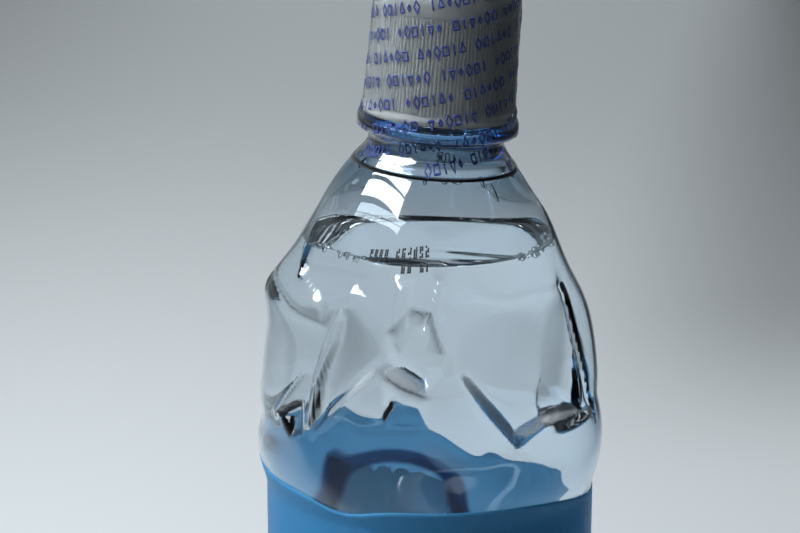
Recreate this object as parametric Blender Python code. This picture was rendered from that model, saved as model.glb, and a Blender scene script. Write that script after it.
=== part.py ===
"""Sealed bottle of still water in clear PET, its upper body crumpled.

The bottle stands upright on its base ring, centred on the Z axis, front towards -Y.
All lengths below are millimetres and all angles are degrees until `add_piece`
turns them into metres. An angle of 0 points to the front, and 90 points to +X.
"""

import math
from dataclasses import dataclass

import bpy
import numpy as np

MM = 0.001

# Driving dimensions ---------------------------------------------------------
BODY_RADIUS = 37.0
LABEL_RADIUS = 34.9
WALL = 0.45
NECK_WALL = 1.5
THICKER_FROM = 186.0
THICKER_TO = 206.0
GAP = 0.3
LABEL_GAP = 0.5

GROOVE_LEVELS = (20.0, 34.0, 48.0)
GROOVE_DEPTH = 1.1
GROOVE_HALF = 2.4

LABEL_BOTTOM = 74.0
LABEL_TOP = 143.0
# Where the label's upper edge dips, as (angle, spread, depth).
LABEL_DIPS = ((-30.0, 12.0, 2.0), (88.0, 38.0, 6.8), (163.0, 13.0, 10.5), (147.0, 11.0, 6.5))
LABEL_THICK = 0.3

WATER_LEVEL = 190.3

NECK_LEAN = 4.0
LEAN_START = 195.0
LEAN_END = 205.0

RING_RADIUS = 16.5
NECK_RADIUS = 13.6
FINISH_RADIUS = 13.0
BORE_RADIUS = 10.9
MOUTH_LEVEL = 233.0

CLOSURE_BOTTOM = 217.0
RIB_BOTTOM = 219.0
RIB_TOP = 238.0
COLLAR_TOP = 243.0
CLOSURE_LOW_RADIUS = 15.6
CLOSURE_HIGH_RADIUS = 14.9
SKIRT_BORE = 14.1
RIB_COUNT = 120
RIB_DEPTH = 0.35
PLATE_BOTTOM = MOUTH_LEVEL + GAP
PLATE_TOP = 235.2
POST_RADIUS = 4.4
PASSAGE_RADIUS = 2.6
POST_TOP = 248.0
SNAP_RADIUS = 13.0
SNAP_BORE = 11.9
SNAP_TOP = 246.5

SPOUT_BOTTOM = PLATE_TOP + GAP
SPOUT_TOP = 252.0
SPOUT_RADIUS = 7.2
SPOUT_FLANGE = 8.8
SPOUT_HOLE = 1.6

CAP_BOTTOM = COLLAR_TOP + GAP
CAP_TOP = 255.0
CAP_RADIUS = 14.4
CAP_WALL = 1.1

SEAL_BOTTOM = 206.4
SEAL_TOP = 251.0
SEAL_THICK = 0.25

# Mesh density ---------------------------------------------------------------
FRONT_STEPS = 32
BACK_STEPS = 14
# Rows of the upper body, as (start level, number of rows).
UPPER_ROWS = ((118.0, 8), (134.0, 7), (150.0, 16), (WATER_LEVEL, 5))
# The label's rows lie level up to here, and over it they follow its upper edge.
LABEL_EVEN = 130.0
LABEL_SHARES = (0.2, 0.4, 0.6, 0.8, 1.0)
# No crease is finer than the rows and uprights can show.
FINEST_CREASE = 1.6
TURNED_STEPS = 40
SHARP_ANGLE = 40.0

# The outer wall from the base centre to the neck root, as (radius, level).
BASE_LINE = (
    (0.0, 3.2),
    (12.0, 2.9),
    (21.0, 1.8),
    (27.5, 0.3),
    (28.2, 0.0),
    (31.4, 0.0),
    (34.6, 1.2),
    (36.4, 4.0),
)
# Levels and radii of the upper body, shoulder and neck root, from the label up.
SHOULDER_LINE = (
    (118.0, LABEL_RADIUS),
    (134.0, LABEL_RADIUS),
    (138.0, 34.95),
    (142.0, 36.1),
    (147.0, 36.8),
    (153.0, 36.5),
    (161.0, 35.7),
    (170.0, 34.6),
    (178.5, 33.0),
    (184.0, 30.8),
    (190.5, 27.3),
    (197.0, 23.5),
    (204.0, 19.0),
    (207.0, 16.8),
)
NECK_LINE = (
    (14.6, 209.3),
    (NECK_RADIUS, 210.8),
    (NECK_RADIUS, 213.0),
    (16.2, 213.5),
    (RING_RADIUS, 214.0),
    (RING_RADIUS, 215.4),
    (16.2, 215.9),
    (FINISH_RADIUS, 216.2),
    (FINISH_RADIUS, 232.5),
    (12.6, MOUTH_LEVEL),
    (11.3, MOUTH_LEVEL),
    (BORE_RADIUS, 232.6),
    (BORE_RADIUS, 211.5),
    (12.4, 209.0),
)


@dataclass(frozen=True)
class Facet:
    """A flat on the wall: a plane that cuts the round body, with a softly rounded crease.

    It faces an angle, lies at a reach from the axis at a level, and comes nearer to the
    axis by slope for each millimetre up. It fades in over low and out over high.
    """

    angle: float
    level: float
    reach: float
    slope: float
    crease: float = 0.25
    low: tuple = (138.0, 139.0)
    high: tuple = (204.0, 206.0)


@dataclass(frozen=True)
class Panel:
    """A pressed-in panel, or one that stands out where depth is under 0.

    Its rim is a crease, its inside is nearly flat where flat is 1, and its depth grows
    by tip for each millimetre below its highest corner.
    """

    rim: tuple
    depth: float
    run: float
    flat: float = 1.0
    tip: float = 0.0


@dataclass(frozen=True)
class Fold:
    """A sharp fold along a line: a ridge where height is over 0, else a valley."""

    line: tuple
    height: float
    width: float


@dataclass(frozen=True)
class Swell:
    """A broad soft bulge, or a hollow where height is under 0."""

    angle: float
    level: float
    height: float
    across: float
    along: float


FACETS = (
    # right of the middle, from its V-shaped foot up to the shoulder
    Facet(28, 155.5, 35.7, 0.16),
    # far right, over a level foot
    Facet(60, 158, 34.2, 0.12, 0.3, (155.0, 158.0)),
    # left of the middle, from the foot of the long finger
    Facet(-40, 156.3, 35.7, 0.18),
    # upper left, on the shoulder
    Facet(-49, 182, 31.4, 0.75, 0.12, (178.0, 181.0), (190.0, 198.0)),
    # the back: a low flat, flats that lean out over it, and an upright one under the shoulder
    Facet(168, 148, 29.6, 0.04, 0.3, (119.0, 137.0), (146.0, 156.0)),
    Facet(164, 148, 29.2, -0.12, 0.3, (144.0, 152.0)),
    Facet(-176, 148, 29.6, -0.08, 0.3, (138.0, 147.0)),
    Facet(174, 165, 30.6, 0.0, 0.3, (150.0, 156.0)),
)

PANELS = (
    # the right flats stand over their V-shaped foot
    Panel(
        (
            (4, 186), (8, 171), (29.5, 155.2), (40, 158.4), (66, 157.4), (68, 168),
            (64, 182), (54, 184.5), (35, 183.7), (20, 185.8),
        ),
        -0.6, 1.2, 0.0, 0.16,
    ),
    # the left flat stands over its sloping foot
    Panel(
        (
            (-18, 173), (-34, 162.5), (-43, 156.5), (-43, 166),
            (-37, 176), (-35, 187), (-22, 184.5), (-17, 179),
        ),
        -0.7, 1.2, 0.0, 0.13,
    ),
    # spoon-shaped dimple in the middle
    Panel(
        (
            (-16.4, 179), (-14.9, 175), (-11.6, 172), (-6.9, 170.1), (-2.5, 167.9),
            (2.5, 171.3), (4.2, 175.3), (-0.2, 182.7), (-8, 184),
        ),
        2.6, 1.7, 0.4,
    ),
    # sloping strip under the dimple
    Panel(((-16, 170.5), (-15.5, 160), (-1, 161), (-0.5, 166.5)), 2.8, 0.8, 0.0, -0.27),
    # petal that hangs over the dimple
    Panel(
        ((-14.8, 189), (-14.7, 180), (-13.3, 177), (-11.2, 174.3), (-9, 177.8), (-6.6, 189)),
        -1.3, 0.6, 0.0,
    ),
    # long finger on the left
    Panel(
        (
            (-36.3, 182.7), (-39.8, 178.6), (-42.5, 174.3), (-44.9, 168), (-46.3, 157),
            (-43.9, 156.8), (-40.8, 163), (-38.9, 169.8), (-34.5, 175.4), (-32.8, 180.5),
        ),
        -1.1, 0.7, 0.0,
    ),
    # small triangle in the right panel's lower corner
    Panel(((36, 157.2), (41, 166.5), (60, 158.8)), 0.5, 1.6, 0.2),
    # dark triangle at the left, under the short finger
    Panel(((-60, 158), (-49.2, 162.3), (-47, 155.5), (-52, 153.4)), 3.6, 0.5, 0.0, -0.42),
    # small flat on the upper left shoulder
    Panel(
        (
            (-66, 188), (-64.9, 185.6), (-51.8, 183.2), (-45.8, 181), (-44.4, 178),
            (-40.9, 181.9), (-27.9, 183.8), (-28.5, 185.1), (-24.9, 189.4),
        ),
        0.35, 0.4, 0.0,
    ),
)

FOLDS = (
    # valleys under the feet of the flats
    Fold(((8, 171), (29.5, 155.2), (40, 158.4), (66, 157.4)), -0.4, 3.0),
    Fold(((-18, 173), (-34, 162.5), (-43, 156.5)), -0.3, 3.0),
    # groove down the far right
    Fold(((65, 183), (68, 173), (72, 164), (75, 156)), -1.8, 1.8),
    # short finger to the left of the long one
    Fold(((-48.5, 168), (-61, 157.8)), 0.8, 1.1),
    # crease across the left shoulder corner
    Fold(((-96, 183), (-84, 182), (-64, 179.3), (-44, 178.0)), -0.7, 1.2),
    # crease between the petal and the right flats
    Fold(((2, 189), (-1, 184), (-3, 180)), -1.5, 1.0),
    # strip along the dimple's lower left rim
    Fold(((-18, 173), (-8, 168)), 0.6, 0.8),
    # short upright fold in the right panel's lower corner
    Fold(((41, 160), (41.5, 167)), 0.5, 0.9),
    # brow over the right flats
    Fold(((15, 188), (18.4, 186), (27.9, 184.3), (37.5, 184.6), (48.4, 184.3), (64, 183.2)), -0.5, 0.7),
)

SWELLS = (
    # the left shoulder corner stands out, and the right one is pressed flat
    Swell(-92, 180.5, 2.3, 10.0, 5.0),
    Swell(92, 184, -1.6, 18.0, 8.0),
    # notches at both sides under the crumpled band
    Swell(-92, 152.5, -1.0, 9.0, 3.0),
    Swell(92, 157, -0.6, 9.0, 3.5),
)

UNROLL_RADIUS = 34.0
WIDEST_FACET = 75.0
CRUMPLE_LOW = (120.0, 124.0)
CRUMPLE_HIGH = (196.0, 204.0)


# The crumpled shape ---------------------------------------------------------
def wrapped(angle):
    """The angle between -180 and 180."""
    return (np.asarray(angle, float) + 180.0) % 360.0 - 180.0


def arc(angle, start):
    """Arc length from a starting angle, the short way round."""
    return np.radians(wrapped(angle - start)) * UNROLL_RADIUS


def unrolled(angle, points):
    """Unrolls the wall about the middle of a line or a rim.

    It gives the arc lengths of the angles, the corners as (arc length, level), and half
    the line's width.
    """
    low = min(a for a, _ in points)
    high = max(a for a, _ in points)
    middle = (low + high) / 2
    corners = [(math.radians(a - middle) * UNROLL_RADIUS, z) for a, z in points]
    return arc(angle, middle), corners, math.radians((high - low) / 2) * UNROLL_RADIUS


def distance_to_line(s, z, points):
    """Shortest distance from each place to a line of straight runs."""
    nearest = np.full(np.shape(s), np.inf)
    for (s0, z0), (s1, z1) in zip(points, points[1:]):
        ds, dz = s1 - s0, z1 - z0
        share = np.clip(((s - s0) * ds + (z - z0) * dz) / (ds * ds + dz * dz), 0.0, 1.0)
        nearest = np.minimum(nearest, np.hypot(s - s0 - share * ds, z - z0 - share * dz))
    return nearest


def inside_rim(s, z, points):
    """True where a place lies inside a closed rim."""
    found = np.zeros(np.shape(s), bool)
    for (s0, z0), (s1, z1) in zip(points, points[1:] + points[:1]):
        if z0 == z1:
            continue
        crosses = (z0 > z) != (z1 > z)
        found ^= crosses & (s < s0 + (z - z0) * (s1 - s0) / (z1 - z0))
    return found


def ramp(value, low, high):
    """0 below low, 1 above high, smooth between."""
    share = np.clip((np.asarray(value, float) - low) / (high - low), 0.0, 1.0)
    return share * share * (3.0 - 2.0 * share)


def cut_by(facet, angle, level, radius):
    """Radius of the wall once a facet's plane has cut it."""
    away = np.clip(np.abs(wrapped(angle - facet.angle)), 0.0, WIDEST_FACET)
    plane = (facet.reach - facet.slope * (level - facet.level)) / np.cos(np.radians(away))
    depth = facet.crease * np.logaddexp(0.0, (radius - plane) / facet.crease)
    return radius - depth * ramp(level, *facet.low) * (1 - ramp(level, *facet.high))


def pressed(panel, angle, level):
    """How far a panel moves the wall inwards."""
    s, rim, half = unrolled(angle, panel.rim)
    inside = np.where(inside_rim(s, level, rim), distance_to_line(s, level, rim + rim[:1]), 0.0)
    sag = np.maximum(half * half - s * s, 0.0) / (2 * UNROLL_RADIUS)
    below = max(z for _, z in rim) - level
    depth = panel.depth + panel.flat * sag + panel.tip * below
    return (1 - np.exp(-inside / max(panel.run, FINEST_CREASE))) * depth


def crumple(angle, level):
    """How far the wall is moved outwards at an angle and a level."""
    angle, level = np.broadcast_arrays(np.asarray(angle, float), np.asarray(level, float))
    body = upper_radius(level)
    radius = body
    for facet in FACETS:
        radius = cut_by(facet, angle, level, radius)
    moved = radius - body
    for swell in SWELLS:
        across = arc(angle, swell.angle) / swell.across
        along = (level - swell.level) / swell.along
        moved = moved + swell.height * np.exp(-across * across - along * along)
    for panel in PANELS:
        moved = moved - pressed(panel, angle, level)
    for fold in FOLDS:
        s, line, _ = unrolled(angle, fold.line)
        away = distance_to_line(s, level, line)
        moved = moved + fold.height * np.exp(-away / max(fold.width, FINEST_CREASE))
    return moved * ramp(level, *CRUMPLE_LOW) * (1 - ramp(level, *CRUMPLE_HIGH))


def lean(points, whole=False):
    """The neck's lean towards +X, which grows over the upper shoulder.

    Where whole is true, every point gets the neck's full lean.
    """
    points = np.array(points, float)
    share = 1.0 if whole else ramp(points[:, 2], LEAN_START, LEAN_END)
    turn = np.radians(NECK_LEAN) * share
    x, up = points[:, 0].copy(), points[:, 2] - LEAN_START
    points[:, 0] = x * np.cos(turn) + up * np.sin(turn)
    points[:, 2] = LEAN_START - x * np.sin(turn) + up * np.cos(turn)
    return points


# Outlines -------------------------------------------------------------------
def lower_line():
    """The outer wall from the base centre up to the label, which is round."""
    line = list(BASE_LINE)
    line.append((BODY_RADIUS, 8.0))
    for level in GROOVE_LEVELS:
        line.append((BODY_RADIUS, level - GROOVE_HALF))
        line.append((BODY_RADIUS - GROOVE_DEPTH, level))
        line.append((BODY_RADIUS, level + GROOVE_HALF))
    return line + [(BODY_RADIUS, 62.0), (36.4, 67.0), (LABEL_RADIUS, 71.0)]


def upper_levels():
    """Levels of the rows from the label to the neck root, one of them at the water's surface."""
    ends = [low for low, _ in UPPER_ROWS[1:]] + [SHOULDER_LINE[-1][0]]
    runs = [np.linspace(low, high, n, endpoint=False) for (low, n), high in zip(UPPER_ROWS, ends)]
    return np.concatenate([*runs, ends[-1:]])


def upper_radius(level):
    """Radius of the round upper body at a level."""
    levels, radii = (np.array(column, float) for column in zip(*SHOULDER_LINE))
    return np.interp(level, levels, radii)


def inset(line, distance):
    """The line moved inwards along its own normals."""
    points = np.array(line, float)
    along = np.gradient(points, axis=0)
    along /= np.linalg.norm(along, axis=1)[:, None]
    moved = points + distance * np.stack([-along[:, 1], along[:, 0]], axis=1)
    moved[0, 0] = 0.0
    return [tuple(p) for p in moved]


def wall_line(distance):
    """The body's outline at a distance inside the outer wall, up to the neck root."""
    levels = upper_levels()
    steep = np.gradient(upper_radius(levels), levels)
    thicker = 1.0 + (NECK_WALL / WALL - 1.0) * ramp(levels, THICKER_FROM, THICKER_TO)
    radii = upper_radius(levels) - distance * thicker * np.hypot(1.0, steep)
    return inset(lower_line(), distance) + list(zip(radii, levels))


def angles():
    """Angles of the body's uprights, closer together at the front."""
    front = np.linspace(-90.0, 90.0, FRONT_STEPS, endpoint=False)
    back = np.linspace(90.0, 270.0, BACK_STEPS, endpoint=False)
    return np.concatenate([front, back])


def ring(radius, level, around):
    """One loop of points at a radius and a level, either one per angle."""
    turn = np.radians(around)
    level = np.broadcast_to(level, turn.shape)
    return np.stack([radius * np.sin(turn), -radius * np.cos(turn), level], axis=1)


def crumpled_ring(radius, level, around):
    """One loop of the body with its crumples, leaned with the neck."""
    return lean(ring(radius + crumple(around, level), level, around))


# Meshes ---------------------------------------------------------------------
def clear_scene():
    """Removes what the scene holds."""
    for found in list(bpy.data.objects):
        bpy.data.objects.remove(found)


def finish_of(name, colour, roughness, transmission=0.0, ior=1.5):
    """A Principled material."""
    material = bpy.data.materials.new(name)
    material.use_nodes = True
    shader = material.node_tree.nodes["Principled BSDF"]
    shader.inputs["Base Color"].default_value = (*colour, 1.0)
    shader.inputs["Roughness"].default_value = roughness
    shader.inputs["Metallic"].default_value = 0.0
    shader.inputs["Transmission Weight"].default_value = transmission
    shader.inputs["IOR"].default_value = ior
    return material


def zipped(first, second):
    """Triangles between two evenly spaced loops of different numbers of points."""
    faces, i, j = [], 0, 0
    a, b = len(first), len(second)
    while i < a or j < b:
        if j == b or (i < a and (i + 1) * b <= (j + 1) * a):
            faces.append((first[i], first[(i + 1) % a], second[j % b]))
            i += 1
        else:
            faces.append((first[i % a], second[(j + 1) % b], second[j]))
            j += 1
    return faces


def strip(first, second, rising):
    """Triangles between two loops of the same number of points.

    The diagonals lean the same way on a wall that rises and on one that falls, so that
    the two faces of a wall, and the water inside it, have the same facets.
    """
    faces, n = [], len(first)
    for k in range(n):
        a, b, c, d = first[k], first[(k + 1) % n], second[(k + 1) % n], second[k]
        faces += [(a, b, c), (a, c, d)] if rising else [(a, b, d), (b, c, d)]
    return faces


def add_piece(name, loops, material, closed=False, poles=(None, None)):
    """A solid from loops of points, with a pole at either end or closed on itself.

    Each loop is an array of points that run from the left, over the front, to the right.
    """
    vertices, index = [], []
    for loop in loops:
        index.append(list(range(len(vertices), len(vertices) + len(loop))))
        vertices += [tuple(p) for p in loop]
    faces = []
    for k in range(len(loops) if closed else len(loops) - 1):
        after = (k + 1) % len(loops)
        rising = np.mean(loops[after][:, 2]) >= np.mean(loops[k][:, 2])
        faces += joined(index[k], index[after], rising)
    for pole, ring_index, first in ((poles[0], index[0], True), (poles[1], index[-1], False)):
        if pole is None:
            continue
        vertices.append(tuple(pole))
        tip = len(vertices) - 1
        n = len(ring_index)
        for k in range(n):
            a, b = ring_index[k], ring_index[(k + 1) % n]
            faces.append((tip, b, a) if first else (tip, a, b))
    mesh = bpy.data.meshes.new(name)
    mesh.from_pydata([tuple(c * MM for c in p) for p in vertices], [], faces)
    mesh.materials.append(material)
    mesh.shade_smooth()
    mesh.set_sharp_from_angle(angle=math.radians(SHARP_ANGLE))
    made = bpy.data.objects.new(name, mesh)
    bpy.context.scene.collection.objects.link(made)
    return made


def joined(first, second, rising):
    """Triangles between two loops of any numbers of points."""
    if len(first) == len(second):
        return strip(first, second, rising)
    return zipped(first, second)


def turned(name, line, material, closed=True, poles=(None, None), steps=TURNED_STEPS):
    """A turned piece on the leaning neck axis, from its outline as (radius, level)."""
    around = np.linspace(-90.0, 270.0, steps, endpoint=False)
    loops = [lean(ring(radius, level, around), whole=True) for radius, level in line]
    return add_piece(name, loops, material, closed, poles)


# Pieces ---------------------------------------------------------------------
def make_bottle(material):
    """The blown bottle: outer wall, neck finish, bore and inner wall."""
    around = angles()
    outer = wall_line(0.0)
    inner = wall_line(WALL)
    loops = [crumpled_ring(r, z, around) for r, z in outer[1:]]
    loops += [crumpled_ring(r, z, around) for r, z in NECK_LINE]
    loops += [crumpled_ring(r, z, around) for r, z in reversed(inner[1:])]
    poles = ((0.0, 0.0, outer[0][1]), (0.0, 0.0, inner[0][1]))
    return add_piece("bottle", loops, material, poles=poles)


def make_water(material):
    """The water, clear of the inner wall, with a level top."""
    around = angles()
    line = [p for p in wall_line(WALL + GAP) if p[1] < WATER_LEVEL + 0.01]
    loops = [ring(r + crumple(around, z), z, around) for r, z in line[1:]]
    poles = ((0.0, 0.0, line[0][1]), (0.0, 0.0, WATER_LEVEL))
    return add_piece("water", loops, material, poles=poles)


def label_top(around):
    """The label's upper edge, which dips at the right side and the back."""
    top = np.full(around.shape, LABEL_TOP)
    for angle, spread, depth in LABEL_DIPS:
        away = wrapped(around - angle) / spread
        top -= depth * np.exp(-away * away)
    return top


def make_label(material):
    """The wrap-around label, which follows the wall's rows and facets."""
    around = angles()
    rows = upper_levels()
    built = upper_radius(rows)[:, None] + crumple(around[None, :], rows[:, None])
    top = label_top(around)
    levels = [np.full(around.shape, LABEL_BOTTOM)]
    levels += [np.full(around.shape, row) for row in rows if row <= LABEL_EVEN]
    levels += [LABEL_EVEN + share * (top - LABEL_EVEN) for share in LABEL_SHARES]
    outside, inside = [], []
    for level in levels:
        radius = np.array([np.interp(z, rows, column) for z, column in zip(level, built.T)]) + LABEL_GAP
        inside.append(ring(radius, level, around))
        outside.append(ring(radius + LABEL_THICK, level, around))
    return add_piece("label", outside + inside[::-1], material, closed=True)


def make_closure(material):
    """The ribbed closure shell with its plate, snap wall, post and passage."""
    plain = np.linspace(-90.0, 270.0, TURNED_STEPS, endpoint=False)
    fine = np.linspace(-90.0, 270.0, 2 * RIB_COUNT, endpoint=False)
    notch = np.where(np.arange(2 * RIB_COUNT) % 2, RIB_DEPTH, 0.0)
    lip = CLOSURE_LOW_RADIUS + 0.35
    outline = [
        ring(SKIRT_BORE, CLOSURE_BOTTOM, plain),
        ring(lip, CLOSURE_BOTTOM, plain),
        ring(lip, CLOSURE_BOTTOM + 1.2, plain),
        ring(CLOSURE_LOW_RADIUS - notch, RIB_BOTTOM, fine),
        ring(CLOSURE_HIGH_RADIUS - notch, RIB_TOP, fine),
        ring(CLOSURE_HIGH_RADIUS, RIB_TOP + 0.7, plain),
        ring(CLOSURE_HIGH_RADIUS - 0.3, COLLAR_TOP - 0.7, plain),
        ring(CLOSURE_HIGH_RADIUS - 0.9, COLLAR_TOP, plain),
        ring(SNAP_RADIUS, COLLAR_TOP, plain),
        ring(SNAP_RADIUS, SNAP_TOP, plain),
        ring(SNAP_BORE, SNAP_TOP, plain),
        ring(SNAP_BORE, PLATE_TOP, plain),
        ring(POST_RADIUS, PLATE_TOP, plain),
        ring(POST_RADIUS, POST_TOP, plain),
        ring(PASSAGE_RADIUS, POST_TOP, plain),
        ring(PASSAGE_RADIUS, PLATE_BOTTOM, plain),
        ring(SKIRT_BORE, PLATE_BOTTOM, plain),
    ]
    return add_piece("closure_base", [lean(loop, whole=True) for loop in outline], material, closed=True)


def make_spout(material):
    """The push-pull spout on the post."""
    bore = POST_RADIUS + GAP
    line = [
        (bore, SPOUT_BOTTOM),
        (SPOUT_FLANGE, SPOUT_BOTTOM),
        (SPOUT_FLANGE, SPOUT_BOTTOM + 1.4),
        (SPOUT_RADIUS, SPOUT_BOTTOM + 2.4),
        (SPOUT_RADIUS - 0.6, SPOUT_TOP - 3.2),
        (SPOUT_RADIUS + 0.5, SPOUT_TOP - 2.0),
        (SPOUT_RADIUS - 0.3, SPOUT_TOP - 0.6),
        (SPOUT_RADIUS - 1.6, SPOUT_TOP),
        (SPOUT_HOLE, SPOUT_TOP),
        (SPOUT_HOLE, POST_TOP + 1.2),
        (bore, POST_TOP + 1.2),
    ]
    return turned("drinking_spout", line, material)


def make_dust_cap(material):
    """The dark cap over the spout, with a rounded top edge."""
    inner = CAP_RADIUS - CAP_WALL
    line = [
        (CAP_RADIUS, CAP_BOTTOM),
        (CAP_RADIUS - 0.3, CAP_TOP - 3.4),
        (CAP_RADIUS - 1.2, CAP_TOP - 1.2),
        (CAP_RADIUS - 3.2, CAP_TOP - 0.2),
        (5.0, CAP_TOP),
    ]
    hollow = [
        (5.0, CAP_TOP - CAP_WALL),
        (inner - 2.2, CAP_TOP - CAP_WALL - 0.2),
        (inner - 0.4, CAP_TOP - 3.4),
        (inner, CAP_BOTTOM),
    ]
    top = lean([(0.0, 0.0, CAP_TOP)], whole=True)[0]
    under = lean([(0.0, 0.0, CAP_TOP - CAP_WALL)], whole=True)[0]
    return turned("dust_cap", hollow + line, material, closed=False, poles=(under, top))


def make_shrink_seal(material):
    """The shrink film from the shoulder, over ring and closure, on to the dust cap."""
    near = GAP
    line = [
        (17.3 + near, SEAL_BOTTOM),
        (15.0 + near, 209.1),
        (NECK_RADIUS + near, 211.0),
        (NECK_RADIUS + near, 212.6),
        (RING_RADIUS + near, 213.4),
        (RING_RADIUS + near, 216.0),
        (CLOSURE_LOW_RADIUS + 0.35 + near, 217.2),
        (CLOSURE_LOW_RADIUS + 0.35 + near, 218.4),
        (CLOSURE_LOW_RADIUS + near, RIB_BOTTOM),
        (CLOSURE_HIGH_RADIUS + near, RIB_TOP),
        (CLOSURE_HIGH_RADIUS + near, COLLAR_TOP),
        (CAP_RADIUS + near, SEAL_TOP),
    ]
    outside = [(r + SEAL_THICK, z) for r, z in line]
    return turned("shrink_seal", outside + line[::-1], material)


def main():
    """Makes every piece."""
    clear_scene()
    pet = finish_of("clear_pet", (0.72, 0.84, 0.92), 0.03, 1.0, 1.575)
    water = finish_of("water", (0.90, 0.96, 1.0), 0.0, 1.0, 1.333)
    white = finish_of("white_polypropylene", (0.80, 0.82, 0.82), 0.4)
    soft_white = finish_of("natural_polyethylene", (0.78, 0.80, 0.80), 0.45)
    navy = finish_of("dark_blue_polypropylene", (0.012, 0.030, 0.085), 0.3)
    film = finish_of("clear_shrink_film", (0.90, 0.92, 0.95), 0.08, 1.0, 1.5)
    label = finish_of("printed_label_film", (0.02, 0.16, 0.33), 0.25)
    make_bottle(pet)
    make_water(water)
    make_label(label)
    make_closure(white)
    make_spout(soft_white)
    make_dust_cap(navy)
    make_shrink_seal(film)


main()
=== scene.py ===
"""Looks of a sealed water bottle in clear PET whose upper body is crumpled.

Lengths in the classes are millimetres and angles are degrees. An angle of 0 points to
the front of the bottle (-Y) and 90 to its right (+X). Meshes are turned into metres as
they are made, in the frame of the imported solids.
"""

import logging
import math
from collections.abc import Callable
from dataclasses import dataclass
from enum import Enum

import bpy
import numpy as np
from bpy.types import Material, Node, NodeSocket, NodeTree, Object
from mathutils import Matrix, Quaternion, Vector


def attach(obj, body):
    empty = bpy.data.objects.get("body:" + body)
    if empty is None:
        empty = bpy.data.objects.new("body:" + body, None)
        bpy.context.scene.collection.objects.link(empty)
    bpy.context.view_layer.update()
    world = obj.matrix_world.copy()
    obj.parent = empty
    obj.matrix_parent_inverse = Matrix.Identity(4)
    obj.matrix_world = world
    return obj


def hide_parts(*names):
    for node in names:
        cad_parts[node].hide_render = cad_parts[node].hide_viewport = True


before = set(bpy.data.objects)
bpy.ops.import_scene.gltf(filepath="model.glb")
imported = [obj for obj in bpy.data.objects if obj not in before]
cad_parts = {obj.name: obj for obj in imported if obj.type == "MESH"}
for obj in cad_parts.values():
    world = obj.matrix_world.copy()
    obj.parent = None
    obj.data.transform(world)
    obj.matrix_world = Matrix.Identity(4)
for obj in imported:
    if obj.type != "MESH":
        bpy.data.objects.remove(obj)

logging.basicConfig(level=logging.INFO, format="%(name)s: %(message)s")
log = logging.getLogger("bottle_scene")

MM = 0.001
BODY = "root"
MATH = "ShaderNodeMath"

# Corners of a line, as (angle, level) on the wall or as (radius, level) in a section.
Line = tuple[tuple[float, float], ...]


class Slot(Enum):
    """The material slots of the record, each shown by one piece or more."""

    CLEAR_PET = "clear_pet"
    WATER = "water"
    LABEL_FILM = "label_film"
    WHITE_PLASTIC = "white_plastic"
    NATURAL_PLASTIC = "natural_plastic"
    DARK_BLUE_PLASTIC = "dark_blue_plastic"
    SHRINK_FILM = "shrink_film"


# --------------------------------------------------------------------------------------
# Small helpers
# --------------------------------------------------------------------------------------
def linear(colour: str) -> tuple[float, float, float, float]:
    """Turns an sRGB hex colour into linear RGBA.

    Args:
        colour: The colour as "#rrggbb".

    Returns:
        Linear red, green and blue, and an alpha of 1.
    """
    parts = [int(colour[i : i + 2], 16) / 255.0 for i in (1, 3, 5)]
    rgb = [p / 12.92 if p <= 0.04045 else ((p + 0.055) / 1.055) ** 2.4 for p in parts]
    return (rgb[0], rgb[1], rgb[2], 1.0)


def add_node(tree: NodeTree, kind: str, inputs: dict | None = None, **settings: object) -> Node:
    """Adds a node with its settings, values and links.

    Args:
        tree: The node tree that gets the node.
        kind: The node's type name.
        inputs: Value or source for each input, by the input's name or index. A source is a
            socket, or a node whose first output is taken.
        **settings: Properties of the node itself.

    Returns:
        The new node.
    """
    made = tree.nodes.new(kind)
    for name, value in settings.items():
        setattr(made, name, value)
    for key, value in (inputs or {}).items():
        if isinstance(value, Node):
            value = value.outputs[0]
        if isinstance(value, NodeSocket):
            tree.links.new(value, made.inputs[key])
        else:
            made.inputs[key].default_value = value
    return made


def ramp(value: np.ndarray, low: float, high: float) -> np.ndarray:
    """Rises smoothly from 0 at low to 1 at high."""
    share = np.clip((np.asarray(value, float) - low) / (high - low), 0.0, 1.0)
    return share * share * (3.0 - 2.0 * share)


def wrapped(angle: np.ndarray) -> np.ndarray:
    """Brings an angle between -180 and 180."""
    return (np.asarray(angle, float) + 180.0) % 360.0 - 180.0


def loop_at(radius: np.ndarray | float, level: np.ndarray | float, around: np.ndarray) -> np.ndarray:
    """Draws one loop of points.

    Args:
        radius: Its radius, one for each angle or one for all.
        level: Its level, one for each angle or one for all.
        around: Angles of the points.

    Returns:
        The points in millimetres.
    """
    turn = np.radians(around)
    level = np.broadcast_to(level, turn.shape)
    return np.stack([radius * np.sin(turn), -radius * np.cos(turn), level], axis=1)


def mesh_object(name: str, points: np.ndarray, faces: list, material: Material) -> Object:
    """Makes a smooth-shaded mesh object at the origin.

    Args:
        name: Name of the object and its mesh.
        points: Points in millimetres.
        faces: Faces as tuples of point numbers, facing outwards.
        material: The finish of every face.

    Returns:
        The linked object.
    """
    mesh = bpy.data.meshes.new(name)
    mesh.from_pydata((np.asarray(points, float) * MM).tolist(), [], faces)
    mesh.materials.append(material)
    mesh.shade_smooth()
    made = bpy.data.objects.new(name, mesh)
    bpy.context.scene.collection.objects.link(made)
    return made


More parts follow.
